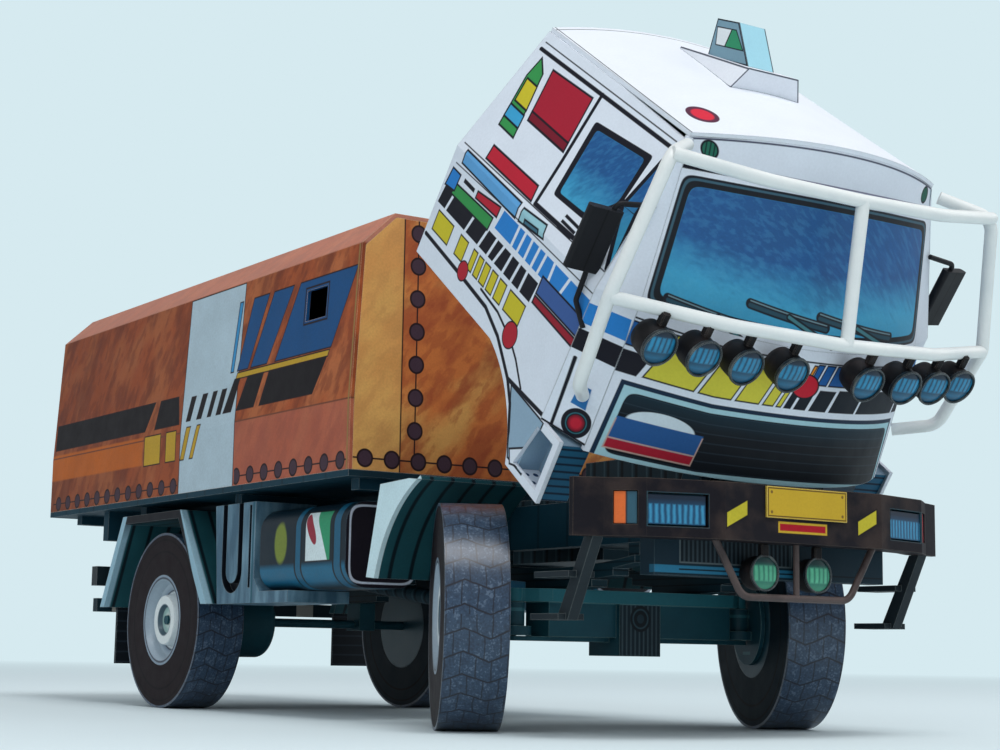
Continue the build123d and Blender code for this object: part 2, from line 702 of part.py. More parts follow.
tunnel_x = 13.9
tunnel_top_z = 53.0
with BuildPart() as cab_floor:
    with BuildSketch(Plane.XY.offset(cab_floor_z)):
        with BuildLine():
            Polyline(
                (-inner_x, cab_rear_y - card), (inner_x, cab_rear_y - card), (inner_x, front_axle_y - 25.5),
                (30.6, front_axle_y - 32.5), (-30.6, front_axle_y - 32.5), (-inner_x, front_axle_y - 25.5), close=True,
            )
        make_face()
        with Locations((0, front_axle_y - 16.0)):
            Rectangle(2 * tunnel_x, 37.0, mode=Mode.SUBTRACT)
    extrude(amount=card)
    with BuildSketch(Plane.XZ.offset(-(front_axle_y + 2.5 + card))):
        with Locations((0, (cab_floor_z + tunnel_top_z) / 2)):
            Rectangle(2 * tunnel_x + 2 * card, tunnel_top_z - cab_floor_z)
        with Locations((0, (cab_floor_z + tunnel_top_z - card) / 2)):
            Rectangle(2 * tunnel_x, tunnel_top_z - card - cab_floor_z, mode=Mode.SUBTRACT)
    extrude(amount=35.8)
    with Locations((0, front_axle_y + 2.5 + card / 2, (cab_floor_z + tunnel_top_z) / 2)):
        Box(2 * tunnel_x + 2 * card, card, tunnel_top_z - cab_floor_z)
    for side in (-1, 1):
        with BuildSketch(Plane.YZ.offset(side * 15.6 - 0.8)):
            with BuildLine():
                Polyline(
                    (front_axle_y - 30.0, cab_floor_z), (hinge_y + 1.5, hinge_z - 2.2), (hinge_y - 1.2, hinge_z - 1.8),
                    (hinge_y - 1.2, hinge_z + 1.8), (hinge_y + 1.5, hinge_z + 2.2), (front_axle_y - 30.0, tunnel_top_z),
                    close=True,
                )
            make_face()
            with Locations((hinge_y, hinge_z)):
                Circle(hinge_pin_radius + 0.05, mode=Mode.SUBTRACT)
        extrude(amount=1.6)
save_tilted(cab_floor, "cab_floor")

# Roof scoop: a wedge that dies into the roof behind, and a small leaning box on it
wedge_ends = (
    (-2.1, ((-7.9, 95.6), (7.9, 95.6), (5.6, 99.8), (-5.6, 99.8))),
    (18.0, ((-5.4, 93.4), (5.4, 93.4), (5.2, 95.3), (-5.2, 95.3))),
)
with BuildPart() as roof_scoop:
    for offset_y, wedge_points in wedge_ends:
        with BuildSketch(Plane.XZ.offset(-(front_axle_y + offset_y))):
            with BuildLine():
                Polyline(*wedge_points, close=True)
            make_face()
    loft(ruled=True)
    with BuildSketch(Plane.YZ.offset(-3.0)):
        with BuildLine():
            Polyline(
                cab_point(1.6, 99.0), cab_point(8.5, 104.3), cab_point(14.3, 102.7), cab_point(12.7, 96.0), close=True
            )
        make_face()
    extrude(amount=6.0)
    for plane_offset, half_width, side_z, crown in roof_ends:
        with BuildSketch(Plane.XZ.offset(plane_offset)):
            with BuildLine():
                ThreePointArc((-half_width, side_z), (0, side_z + crown), (half_width, side_z))
                Polyline((half_width, side_z), (half_width, 85.0), (-half_width, 85.0), (-half_width, side_z))
            make_face()
    loft(ruled=True, mode=Mode.SUBTRACT)
save_tilted(roof_scoop, "roof_scoop")

# Bull bar: bowed upper and lower tubes, side loops and the centre tube
tube_radius = 1.1
upper_bow = [(-35.3, -29.0, 91.4), (-19.0, -33.4, 91.7), (0, -34.6, 91.8), (19.0, -33.4, 91.7), (35.3, -29.0, 91.4)]
lower_bow = [(-41.0, -36.0, 69.5), (-22.0, -43.0, 70.8), (0, -45.4, 71.3), (22.0, -43.0, 70.8), (41.0, -36.0, 69.5)]
side_loop = [
    (28.0, -22.6, 91.0), (35.3, -29.0, 91.4), (41.0, -36.0, 69.5), (39.5, -36.0, 54.0), (34.4, -31.7, 49.8)
]
centre_tube = [(0, -34.6, 91.8), (0, -40.2, 81.0), (0, -45.4, 71.3)]
tubes = [(upper_bow, 12.0), (lower_bow, 12.0), (side_loop, 3.5), (centre_tube, 5.0)]
tubes.append(([(-x, y, z) for x, y, z in side_loop], 3.5))
with BuildPart() as bull_bar:
    for tube_points, bend_radius in tubes:
        with BuildLine() as path:
            FilletPolyline(*[(x, front_axle_y + y, z) for x, y, z in tube_points], radius=bend_radius)
        with BuildSketch(Plane(origin=path.line @ 0, z_dir=path.line % 0)):
            Circle(tube_radius)
        sweep(path=path.line)
save_tilted(bull_bar, "bull_bar")

# Eight round lamps hung under the lower tube
lamp_places = ((8.3, -46.0), (17.4, -45.4), (25.2, -44.2), (32.8, -42.4))
lamp_radius = 3.2
with BuildPart() as spot_lamps:
    for x, y in lamp_places:
        for side in (-1, 1):
            with Locations(Location((side * x, front_axle_y + y + 2.6, 65.0), (90, 0, 0))):
                Cylinder(lamp_radius, 5.2)
            with Locations((side * x, front_axle_y + y + 2.8, 68.4)):
                Box(1.4, 1.4, 1.0)
save_tilted(spot_lamps, "spot_lamps")

# Door mirrors, each with an upper and a lower arm bent back to the cab corner
mirror_arms = (
    [(37.4, -23.8, 77.0), (37.4, -24.2, 80.0), (30.6, -24.6, 80.8)],
    [(37.6, -23.9, 69.0), (38.0, -25.0, 63.0), (36.5, -27.6, 59.6)],
)
with BuildPart() as mirrors:
    for side in (-1, 1):
        with Locations(Location((side * 38.7, front_axle_y - 23.8, 73.4), (0, 0, side * 11.5))):
            mirror_case = Box(6.0, 1.6, 10.9)
        fillet(mirror_case.edges().filter_by(Axis.Z), radius=0.6)
        for arm_points in mirror_arms:
            with BuildLine() as arm_path:
                FilletPolyline(*[(side * x, front_axle_y + y, z) for x, y, z in arm_points], radius=1.2)
            with BuildSketch(Plane(origin=arm_path.line @ 0, z_dir=arm_path.line % 0)):
                Circle(0.45)
            sweep(path=arm_path.line)
save_tilted(mirrors, "mirrors", (cab_sides, cab_corners))
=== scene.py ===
import math

import bmesh
import bpy
from mathutils import Matrix, Vector


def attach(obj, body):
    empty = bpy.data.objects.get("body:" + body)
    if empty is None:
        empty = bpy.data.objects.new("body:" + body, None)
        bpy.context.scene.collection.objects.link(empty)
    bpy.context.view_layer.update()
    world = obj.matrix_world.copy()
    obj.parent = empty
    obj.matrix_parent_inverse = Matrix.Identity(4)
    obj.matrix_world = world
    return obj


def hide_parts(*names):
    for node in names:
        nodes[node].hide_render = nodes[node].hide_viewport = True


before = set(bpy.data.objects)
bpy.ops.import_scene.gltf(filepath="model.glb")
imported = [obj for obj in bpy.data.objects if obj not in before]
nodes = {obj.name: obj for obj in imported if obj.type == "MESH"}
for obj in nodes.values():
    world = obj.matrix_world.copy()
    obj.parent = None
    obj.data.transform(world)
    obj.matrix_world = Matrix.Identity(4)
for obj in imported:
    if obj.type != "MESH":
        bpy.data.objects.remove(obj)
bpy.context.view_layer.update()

# Camera: it stands low at the truck's right front corner and looks slightly up along the body,
# as close as a photographer gets to a model on a table.
camera_data = bpy.data.cameras.new("camera")
camera_data.sensor_width = 36.0
camera_data.lens = 67.42
camera_data.clip_start = 0.01
camera = bpy.data.objects.new("camera", camera_data)
bpy.context.scene.collection.objects.link(camera)
camera_spot = (-0.20943, -0.33488, 0.01312)
yaw, pitch, roll = (math.radians(angle) for angle in (-33.77, 8.46, 0.91))
camera.matrix_world = (
    Matrix.Translation(camera_spot)
    @ Matrix.Rotation(yaw, 4, "Z")
    @ Matrix.Rotation(math.pi / 2 + pitch, 4, "X")
    @ Matrix.Rotation(roll, 4, "Z")
)
bpy.context.scene.camera = camera


# Frame rails, cross members and hinge brackets: dark teal card, folded into box sections and
# glued. The teal is printed darker than the card's own colour, as painted shade under the body.
# The print is matt, and the card's pale core shows where a fold has rubbed.
front_axle_y = -65.23


def ink_light(colour):
    """Turns a colour as it looks on the printed sheet, 0 to 255, into a shader's light values."""
    shares = [value / 255 for value in colour]
    return [s / 12.92 if s <= 0.04045 else ((s + 0.055) / 1.055) ** 2.4 for s in shares]


pen_black = (18, 18, 30)
bare_card = (150, 158, 160)


class Ink:
    """One number that varies over a sheet. An expression on it adds its Math nodes."""

    def __init__(self, sheet, socket):
        self.sheet, self.socket = sheet, socket

    def math(self, operation, *others):
        sockets = dict(enumerate((self, *others)))
        return self.sheet.node("ShaderNodeMath", {"operation": operation}, sockets)["Value"]

    def __add__(self, other):
        return self.math("ADD", other)

    __radd__ = __add__

    def __sub__(self, other):
        return self.math("SUBTRACT", other)

    def __rsub__(self, other):
        return self.sheet.node("ShaderNodeMath", {"operation": "SUBTRACT"}, {0: other, 1: self})["Value"]

    def __mul__(self, other):
        return self.math("MULTIPLY", other)

    __rmul__ = __mul__

    def __truediv__(self, other):
        return self.math("DIVIDE", other)

    def __mod__(self, other):
        return self.math("FLOORED_MODULO", other)

    def __neg__(self):
        return self * -1

    def __abs__(self):
        return self.math("ABSOLUTE")

    def __and__(self, other):
        return self.math("MINIMUM", other)

    def __or__(self, other):
        return self.math("MAXIMUM", other)

    def root(self):
        return self.math("SQRT")

    def past(self, start, gain, most=1.0):
        """A share that grows from 0 at a start, and no further than a most."""
        return ((self - start) * gain | 0.0) & most

    def between(self, low, high):
        """Millimetres inside a strip, below zero outside it."""
        return (self - low) & (high - self)

    def near(self, middle, reach):
        """Millimetres inside a strip on both sides of a line."""
        return reach - abs(self - middle)

    def edge(self, blur=0.12):
        """A mask from a distance: 1 inside and 0 outside, soft over the width of a pen's edge."""
        return (self / blur + 0.5 | 0.0) & 1.0


class Sheet:
    """The printed sheet that a piece is cut from. Places on the model are in millimetres: run is
    counted back from the front axle, and wide from the middle. Prints keep to the printed faces."""

    def __init__(self, name, colour):
        self.material = bpy.data.materials.new(name)
        self.material.use_nodes = True
        self.tree = self.material.node_tree
        self.tree.nodes.clear()
        self.colour = colour
        self.printed = None
        where = self.node("ShaderNodeTexCoord")
        self.place = where["Object"]
        split = self.node("ShaderNodeSeparateXYZ", {}, {"Vector": self.place})
        self.x, self.y, self.z = (split[axis] * 1000 for axis in "XYZ")
        facing = self.node("ShaderNodeSeparateXYZ", {}, {"Vector": where["Normal"]})
        self.face_x, self.face_y, self.face_z = (facing[axis] for axis in "XYZ")
        self.wide = abs(self.x)
        self.run = self.y - front_axle_y

    def node(self, kind, settings={}, inputs={}):
        """Adds a node, sets it up, fills its sockets, and gives back its outputs by name."""
        made = self.tree.nodes.new(kind)
        for key, value in settings.items():
            setattr(made, key, value)
        for key, value in inputs.items():
            named = (port for port in made.inputs if port.name == key and port.enabled)
            port = made.inputs[key] if isinstance(key, int) else next(named)
            if isinstance(value, Ink):
                self.tree.links.new(value.socket, port)
            else:
                port.default_value = (*ink_light(value), 1) if port.type == "RGBA" else value
        return {port.name: Ink(self, port) for port in made.outputs if port.enabled}

    def cloud(self, scale, detail=3.0, upright=1.0, lean=0.0):
        """Uneven print: soft patches from 0 to 1. A smaller upright stretches them upwards."""
        place = self.place
        if upright != 1.0 or lean:
            drift, height = self.z * (lean / 1000), self.z * (upright / 1000)
            spread = {"X": self.x / 1000 + drift, "Y": self.y / 1000 + drift, "Z": height}
            place = self.node("ShaderNodeCombineXYZ", {}, spread)["Vector"]
        pattern = {"Vector": place, "Scale": scale, "Detail": detail}
        return self.node("ShaderNodeTexNoise", {}, pattern)["Fac"]

    def wash(self, colour, share):
        """Lays a colour over what is there, as far as the share that varies over the sheet."""
        inputs = {"Factor": share, "A": self.colour, "B": colour}
        self.colour = self.node("ShaderNodeMix", {"data_type": "RGBA"}, inputs)["Result"]

    def lay(self, colour, shape, blur=0.12):
        """Prints a colour inside a shape, which is given as millimetres from its edge."""
        if self.printed:
            shape = self.printed & shape
        self.wash(colour, shape.edge(blur))

    def outlined(self, colour, shape, half_pen=0.12, ink=pen_black, blur=0.15):
        """Prints a block and draws round it with a pen."""
        self.lay(colour, shape)
        self.lay(ink, shape.near(0.0, half_pen), blur)

    def finish(self, roughness=0.55, mottle=0.22, grain=0.4, worn=bare_card, wear=0.5, gloss=0.2,
               coat=0.0):
        """Card under the ink: uneven print, fine fibre in the surface, and rubbed folds."""
        uneven = (self.cloud(150, 4.0) + self.cloud(2400, 2.0)) * mottle + (1 - mottle)
        self.colour = self.node("ShaderNodeVectorMath", {"operation": "SCALE"},
                                {"Vector": self.colour, "Scale": uneven})["Vector"]
        rounded = self.node("ShaderNodeBevel", {"samples": 4}, {"Radius": 0.00022})["Normal"]
        if wear:
            flat = self.node("ShaderNodeNewGeometry")["Normal"]
            directions = {0: rounded, 1: flat}
            facing = self.node("ShaderNodeVectorMath", {"operation": "DOT_PRODUCT"}, directions)["Value"]
            self.wash(worn, (1 - facing) * self.cloud(420) * (9 * wear) & 1.0)
        fibre = self.cloud(5200) * 0.6 + self.cloud(900) * 0.4
        relief = {"Strength": grain, "Distance": 0.00003, "Height": fibre, "Normal": rounded}
        skin = {
            "Base Color": self.colour, "Roughness": self.cloud(300) * 0.2 + (roughness - 0.1),
            "Normal": self.node("ShaderNodeBump", {}, relief)["Normal"], "Specular IOR Level": gloss,
            "Coat Weight": coat, "Coat Roughness": 0.3,
        }
        surface = self.node("ShaderNodeBsdfPrincipled", {}, skin)["BSDF"]
        self.node("ShaderNodeOutputMaterial", {}, {"Surface": surface})
        return self.material


def dress(material, *names):
    """Gives pieces that are right as they stand their printed finish."""
    for name in names:
        nodes[name].data.materials.clear()
        nodes[name].data.materials.append(material)


# Partly painted shade: the dark teal base is darker than the card itself, for the shade under the body.
rails = Sheet("frame_card", (10, 46, 60))
rails.lay((8, 24, 32), (rails.run % 9.0).near(0.35, 0.35), 0.3)
rails.wash((18, 72, 90), rails.cloud(90) * 0.5)
dress(rails.finish(roughness=0.6), "frame_rails", "cross_members", "cab_hinge_brackets", "cargo_floor")


# Engine, gearbox and propeller shaft: card boxes and rolled tubes in blue-grey, with cooling
# ribs printed across the block.
engine = Sheet("engine_card", (30, 52, 62))
engine.lay((10, 24, 32), (engine.run % 4.0).near(0.4, 0.4), 0.25)
engine.lay((54, 78, 88), (engine.run % 4.0).near(1.5, 0.25), 0.25)
dress(engine.finish(roughness=0.55), "engine", "propeller_shaft")


# Radiator: a flat box behind the bumper. Its core is drawn as narrow upright ribs inside a
# pale outline, over two strips of lighter blue, which are painted light: a bluish glow thrown up from
# below.
radiator = Sheet("radiator_card", (16, 40, 52))
core = radiator.z.between(27.9, 31.8) & radiator.x.between(-19.8, 4.0)
radiator.lay((52, 66, 74), core)
radiator.lay((10, 22, 30), core & (radiator.x % 0.9).near(0.45, 0.25), 0.2)
radiator.lay((92, 104, 108), core.near(0.0, 0.12), 0.15)
# Painted light: the two lighter blue strips along the foot stand for light thrown up from below.
strips = radiator.z.between(26.2, 27.4) & radiator.x.between(-25.0, 6.0)
radiator.lay((42, 118, 152), strips & (-37.0 - radiator.run))
radiator.lay((8, 20, 28), radiator.z.near(26.8, 0.12) & (radiator.x + 20.0), 0.15)
ribs = (30.6 - radiator.wide) & (radiator.z - 32.4)
radiator.lay((34, 58, 68), ribs & (radiator.x % 1.8).near(0.9, 0.4), 0.2)
dress(radiator.finish(worn=(90, 110, 116)), "radiator")


# Front axle, rear axle and leaf springs: folded card beams with a pale, rubbed lower edge. The
# front of the differential is drawn with upright ribs and a ringed hub.
axle = Sheet("axle_card", (20, 62, 76))
axle.lay((36, 100, 112), axle.z.between(22.0, 26.0) & (16 - abs(axle.run)), 0.3)
axle.wash((44, 104, 112), axle.cloud(200, 4.0) * 0.4)
housing = axle.x.between(-5.9, 3.3) & axle.z.between(12.9, 22.0) & (-4.2 - axle.run)
axle.lay((14, 34, 44), housing)
axle.lay((60, 78, 86), housing & (axle.x % 0.95).near(0.47, 0.16), 0.2)
hub_x, hub_z = axle.x + 1.2, axle.z - 19.6
hub_reach = (hub_x * hub_x + hub_z * hub_z).root()
axle.lay((8, 20, 28), housing & (2.3 - hub_reach))
axle.lay((46, 70, 80), housing & hub_reach.between(1.5, 1.8))
axle.lay((30, 50, 60), housing & (0.8 - hub_reach))
dress(axle.finish(worn=(110, 140, 140), wear=0.9), "front_axle", "rear_axle")

springs = Sheet("spring_card", (18, 46, 56))
springs.lay((8, 24, 32), (springs.z % 1.3).near(0.13, 0.13), 0.15)
dress(springs.finish(), "leaf_springs")


# Knuckles: a rolled card sleeve on a bare wire, with a flat disc at its foot and the round
# brake plate beside the wheel.
pin_x = 25.5
knuckle = Sheet("knuckle_card", (26, 68, 80))
pin_side = knuckle.wide - pin_x
from_pin = (pin_side * pin_side + knuckle.run * knuckle.run).root()
knuckle.lay((52, 104, 114), (knuckle.z % 3.4).near(0.3, 0.3) & (2.6 - from_pin), 0.2)
knuckle.lay((120, 116, 108), 1.2 - from_pin, 0.2)
dress(knuckle.finish(roughness=0.45, worn=(150, 185, 185)), "knuckle_right", "knuckle_left")


# Tyres: a printed strip rolled into a drum and closed with two discs. The tread is drawn as
# blocks between zig-zag grooves, in satin blue-grey, and the walls are nearly black.
wheel_radius, stub_length = 19.4, 8.0
rear_hub_x, rear_axle_run = 31.3, 123.3
wheel_places = {
    "front_right": (-1, 28.0), "front_left": (1, 21.0), "rear_right": (-1, 0.0), "rear_left": (1, 0.0),
}
tread_rows = 31
row_pitch = 2 * math.pi * wheel_radius / tread_rows


def wheel_axes(sheet, corner):
    """Millimetres outward along a wheel's stub, away from the stub, and turns round it."""
    side, steer = wheel_places[corner]
    c, s = math.cos(math.radians(steer)), math.sin(math.radians(steer))
    hub_x, hub_run = side * (pin_x + stub_length * c), -side * stub_length * s
    if not steer:
        hub_x, hub_run = side * rear_hub_x, rear_axle_run
    dx, dy, dz = sheet.x - hub_x, sheet.run - hub_run, sheet.z - wheel_radius
    along = dx * s + dy * c
    turns = dz.math("ARCTAN2", along) / (2 * math.pi)
    return (dx * c - dy * s) * side, (along * along + dz * dz).root(), turns


for corner in wheel_places:
    tyre = Sheet("tyre_card_" + corner, (12, 30, 40))
    out, reach, turns = wheel_axes(tyre, corner)
    tyre.lay((30, 20, 24), out, 1.0)
    tyre.lay((12, 8, 12), reach.near(15.2, 0.2) | reach.near(17.8, 0.15), 0.3)
    tread = reach - (wheel_radius - 0.5)
    tyre.lay((44, 66, 90), tread)
    patches = tyre.cloud(2600, 4.0) * 0.6 + tyre.cloud(700) * 0.4
    tyre.wash((112, 130, 152), patches.past(0.54, 7, 0.45) * tread.edge())
    tyre.wash((26, 38, 60), patches.past(0.48, -7, 0.6) * tread.edge())
    wobble = tyre.cloud(260) * 0.8 - 0.4
    zigzag = abs((out - 2.16) % 8.6 - 4.3) * 0.4
    row = turns * tread_rows + (zigzag + wobble) / row_pitch
    groove = ((row % 1.0) * row_pitch).near(row_pitch / 2, 0.16)
    stagger = ((row + 0.5).math("FLOOR") % 2.0) * 1.3
    divider = ((out + stagger + wobble) % 2.6).near(1.3, 0.1)
    tyre.lay((12, 14, 30), tread & (groove | divider), 0.2)
    varnish = tread.edge() * 0.9
    dress(tyre.finish(mottle=0.25, grain=0.8, wear=0.25, gloss=0.1, coat=varnish), "tyre_" + corner)


# Wheel centres: silver printed discs set back in the tyre, with a raised white ring round a
# flat, greenish cap. The shading between them is drawn with a pen.
for corner in wheel_places:
    rim = Sheet("rim_card_" + corner, (28, 68, 80))
    out, reach = wheel_axes(rim, corner)[:2]
    rim.lay((128, 146, 164), out, 1.0)
    rim.wash((176, 190, 200), (out & (reach.near(8.2, 0.6) + 0.4)).edge(1.2) * 0.8)
    rim.lay((224, 230, 230), out & reach.between(3.4, 6.4), 0.5)
    rim.lay((70, 92, 104), out & reach.near(3.2, 0.32), 0.3)
    rim.lay((164, 196, 190), out & (2.9 - reach), 0.3)
    rim.lay((206, 222, 216), out & (1.7 - reach), 0.8)
    rim.lay((44, 54, 70), out & (reach.near(6.6, 0.14) | reach.near(9.3, 0.22)), 0.2)
    dress(rim.finish(roughness=0.36, mottle=0.2, wear=0.2, gloss=0.4), "rim_" + corner)


# Fuel tanks: card rolled round a rounded section, with curved straps, a leaning flag of plain
# blocks and a dark end inside a pale rim. A lighter blue band along the foot is painted light, thrown up
# from below.
def oval_at(across, up, wide, tall):
    """Millimetres inside an oval, measured from its middle."""
    a, b = across / wide, up / tall
    return (1 - (a * a + b * b).root()) * min(wide, tall)


tank = Sheet("tank_card", (10, 32, 44))
# Painted light: the lighter blue band along the foot of the tanks stands for light thrown up from below.
tank.lay((24, 100, 132), tank.z.between(25.8, 29.6), 1.2)
tank.lay((10, 24, 32), tank.run.between(41.0, 44.6) | tank.run.between(57.0, 60.2))
tank.lay((26, 92, 122), tank.run.between(41.6, 44.0) | tank.run.between(57.6, 59.6))
flag = tank.run.between(45.6, 55.6) & tank.z.between(30.2, 39.8)
lean = tank.run - (tank.z - 35) * 0.5
tank.lay((46, 146, 104), flag)
tank.lay((214, 228, 230), flag & (lean - 49.0))
tank.lay((150, 40, 58), flag & oval_at(lean - 52.6, tank.z - 36.4, 1.5, 3.0))
tank.lay((24, 22, 32), flag.near(0.0, 0.125), 0.15)
tank.lay((120, 134, 50), oval_at(tank.run - 66.0, tank.z - 34.2, 2.6, 4.0), 0.6)
end_face = 39.7 - tank.run
from_rim = (8.0 - abs(tank.wide - 29.0)).math("SMOOTH_MIN", 8.2 - abs(tank.z - 33.2), 4.0)
tank.lay((26, 22, 30), end_face)
tank.lay((182, 190, 204), end_face & from_rim.between(0.7, 1.1))
dress(tank.finish(roughness=0.4, mottle=0.35, worn=(90, 120, 136)), "fuel_tanks")


# Side lockers: blue-grey card with a grab slot cut into the door. A dark upright line stands
# for the door's joint. The inside of the slot is printed near-black as painted shade.
locker = Sheet("locker_card", (66, 98, 118))
stain = locker.cloud(300, 3.0, 0.25)
locker.wash((128, 164, 182), stain.past(0.42, 2.5))
# Painted shade: the walls of the grab slot, below the door's face, are printed near-black.
locker.lay((16, 20, 28), (36.9 - locker.wide) & locker.run.between(78.9, 95.5) & (locker.wide - 35.0))
locker.lay((24, 84, 100), locker.run.near(78.4, 0.3) & (locker.wide - 36.5), 0.2)
dress(locker.finish(roughness=0.45), "side_lockers")


# Mudguards and flaps: bent card, teal inside with dark ribs drawn across it, and a white rim
# cut as a crescent over each front wheel.
def patch(across, up, corners, soft=0.0):
    """Millimetres inside a shape with straight sides, its corners given in turn."""
    pairs = list(zip(corners, (*corners[1:], corners[0])))
    turn = math.copysign(1, sum(x0 * y1 - x1 * y0 for (x0, y0), (x1, y1) in pairs))
    inside = None
    for (x0, y0), (x1, y1) in pairs:
        length = math.hypot(x1 - x0, y1 - y0) * turn
        side = (up - y0) * ((x1 - x0) / length) - (across - x0) * ((y1 - y0) / length)
        if inside is None:
            inside = side
        else:
            inside = inside.math("SMOOTH_MIN", side, soft) if soft else inside & side
    return inside


guard = Sheet("mudguard_card", (34, 88, 96))
guard.wash((16, 52, 62), guard.cloud(110) * 0.7)
guard.lay((8, 26, 34), (guard.wide % 4.4).near(0.5, 0.4), 0.3)
guard.lay((206, 230, 236), (guard.wide - 37.9) & (60 - guard.run))
rear_leg = (guard.wide - 36.6) & (guard.run - 60)
guard.lay((16, 16, 24), rear_leg)
from_side = patch(guard.run - rear_axle_run, guard.z, [(-25.8, 22.6), (33.3, 22.6), (5.2, 79.0)])
guard.lay((150, 186, 202), rear_leg & (3.4 - from_side), 0.4)
dress(guard.finish(), "front_mudguards", "rear_mudguards")

flap = Sheet("flap_card", (14, 22, 30))
flap.lay((34, 44, 54), (flap.z % 2.4).near(0.2, 0.2), 0.2)
dress(flap.finish(roughness=0.6), "mudflaps")


# Underrun bar and rear lamp boxes: dark folded strips, with a red and an amber square printed
# on the back of each box.
bar = Sheet("rear_bar_card", (16, 40, 50))
bar.lay((180, 176, 168), bar.z.between(21.0, 25.2) & (bar.wide % 12.5).near(6.2, 2.4))
dress(bar.finish(roughness=0.55), "rear_underrun_bar")
box = Sheet("rear_lamp_card", (24, 36, 42))
back = box.run - 162.4
box.lay((168, 28, 26), back & box.wide.between(32.5, 34.9) & box.z.between(28.3, 31.9))
box.lay((206, 104, 24), back & box.wide.between(35.3, 37.5) & box.z.between(28.3, 31.9))
dress(box.finish(roughness=0.35), "rear_lamps")


# Load body: a canvas cover printed on folded card. Orange and brown washes lean along it, eyelets
# and their cord are drawn along the lower edge, and plain blocks follow the sides. A painted shade
# darkens the cover towards the back.
def leaning(run, high, low, top, low_start, low_stop, top_start, top_stop):
    """Millimetres inside a block with leaning ends, given on its lower edge and on its upper edge."""
    rise = (high - low) / (top - low)
    start = rise * (top_start - low_start) + low_start
    stop = rise * (top_stop - low_stop) + low_stop
    return high.between(low, top) & (run - start) & (stop - run)


def print_rows(sheet, run, high, rows, *pen):
    """Prints rows of outlined blocks. A row has a colour, two edges, and the ends of its blocks."""
    for colour, low, top, blocks in rows:
        for ends in blocks:
            sheet.outlined(colour, leaning(run, high, low, top, *ends), *pen)


def disc(across, up, radius):
    return radius - (across * across + up * up).root()


canvas_pen, canvas_core = (34, 18, 22), (226, 190, 150)
eyelet_ink = (66, 46, 58)
side_blue, side_black = (22, 76, 126), (22, 16, 20)
side_yellow, side_white = (190, 150, 44), (178, 196, 206)
cover_rows = (
    (side_white, 45.0, 90.3, ((86.0, 113.2, 86.0, 113.2),)),
    (side_blue, 71.3, 86.3, (
        (45.9, 69.6, 37.3, 60.7), (73.2, 80.6, 63.5, 72.3), (81.9, 86.9, 74.4, 81.5))),
    ((58, 140, 190), 71.3, 86.3, ((88.6, 90.0, 86.6, 88.2),)),
    (side_yellow, 69.6, 70.9, ((47.0, 87.3, 46.4, 86.6),)),
    (side_black, 62.8, 69.6, (
        (52.2, 75.2, 47.3, 71.8), (77.7, 85.8, 74.2, 81.5), (88.3, 92.2, 85.2, 87.8))),
    (side_black, 62.8, 68.0, (
        (93.4, 95.6, 91.2, 93.4), (98.2, 100.0, 95.8, 97.8),
        (103.0, 105.4, 100.6, 103.0), (108.6, 110.8, 106.4, 108.8))),
    (side_yellow, 54.3, 61.4, ((106.4, 108.2, 103.0, 104.8), (111.0, 113.0, 108.0, 110.2))),
    (side_yellow, 54.4, 61.2, ((115.6, 121.0, 115.6, 121.0), (124.0, 133.0, 124.0, 133.0))),
    (side_black, 62.5, 68.8, ((114.4, 127.9, 115.8, 125.6), (133.3, 190.0, 128.5, 190.0))),
)


def canvas(sheet, light, dark, lean=0.5):
    """Washes that lean along the cover, lighter and darker, with the mottling of a brush."""
    sheet.wash(light, sheet.cloud(75, 6.0, 0.4, lean).past(0.46, 6, 0.8))
    sheet.wash(dark, sheet.cloud(150, 5.0, 0.2, lean).past(0.48, 5, 0.65))
    sheet.wash(dark, sheet.cloud(420, 4.0, 0.15, lean).past(0.5, 5, 0.45))


cover = Sheet("cover_card", (176, 86, 44))
canvas(cover, (192, 110, 64), (116, 50, 28))
high = cover.z
# Painted shade: the cover is darkened towards the back, where less light falls.
cover.wash((92, 44, 30), (cover.run - 90).edge(150) * 0.45)
cover.wash((196, 100, 30), (high.between(54.7, 61.2) & (cover.run - 134)).edge(0.4) * 0.8)
cover.wash((178, 98, 80), (60.5 - high).edge(0.2) * (110 - cover.run).edge(4.0) * 0.6)
cover.wash((204, 140, 120), (high - 90.6).edge(0.5) * 0.6)
cover.printed = (cover.wide - 33.0) & (90.4 - high)
cover.lay((112, 64, 44), high.near(60.4, 0.16), 0.2)
lace = cover.run.between(37.5, 85.4) | cover.run.between(113.8, 189.5)
eyelet = disc((cover.run - 36.72) % 6.35 - 3.175, high - 48.8, 1.6)
cover.lay(canvas_pen, lace & high.near(48.8, 0.15))
cover.lay(eyelet_ink, lace & eyelet)
cover.lay(canvas_pen, lace & eyelet.near(0.0, 0.2))
print_rows(cover, cover.run, high, cover_rows, 0.14, canvas_pen)
cut_window = cover.run.near(53.3, 4.8) & high.near(81.0, 3.7)
cover.lay(canvas_pen, cut_window.near(0.0, 0.2), 0.15)
cover.lay((150, 120, 70), cover.run.near(37.3, 0.25), 0.25)
dress(cover.finish(mottle=0.3, worn=canvas_core), "cargo_cover")

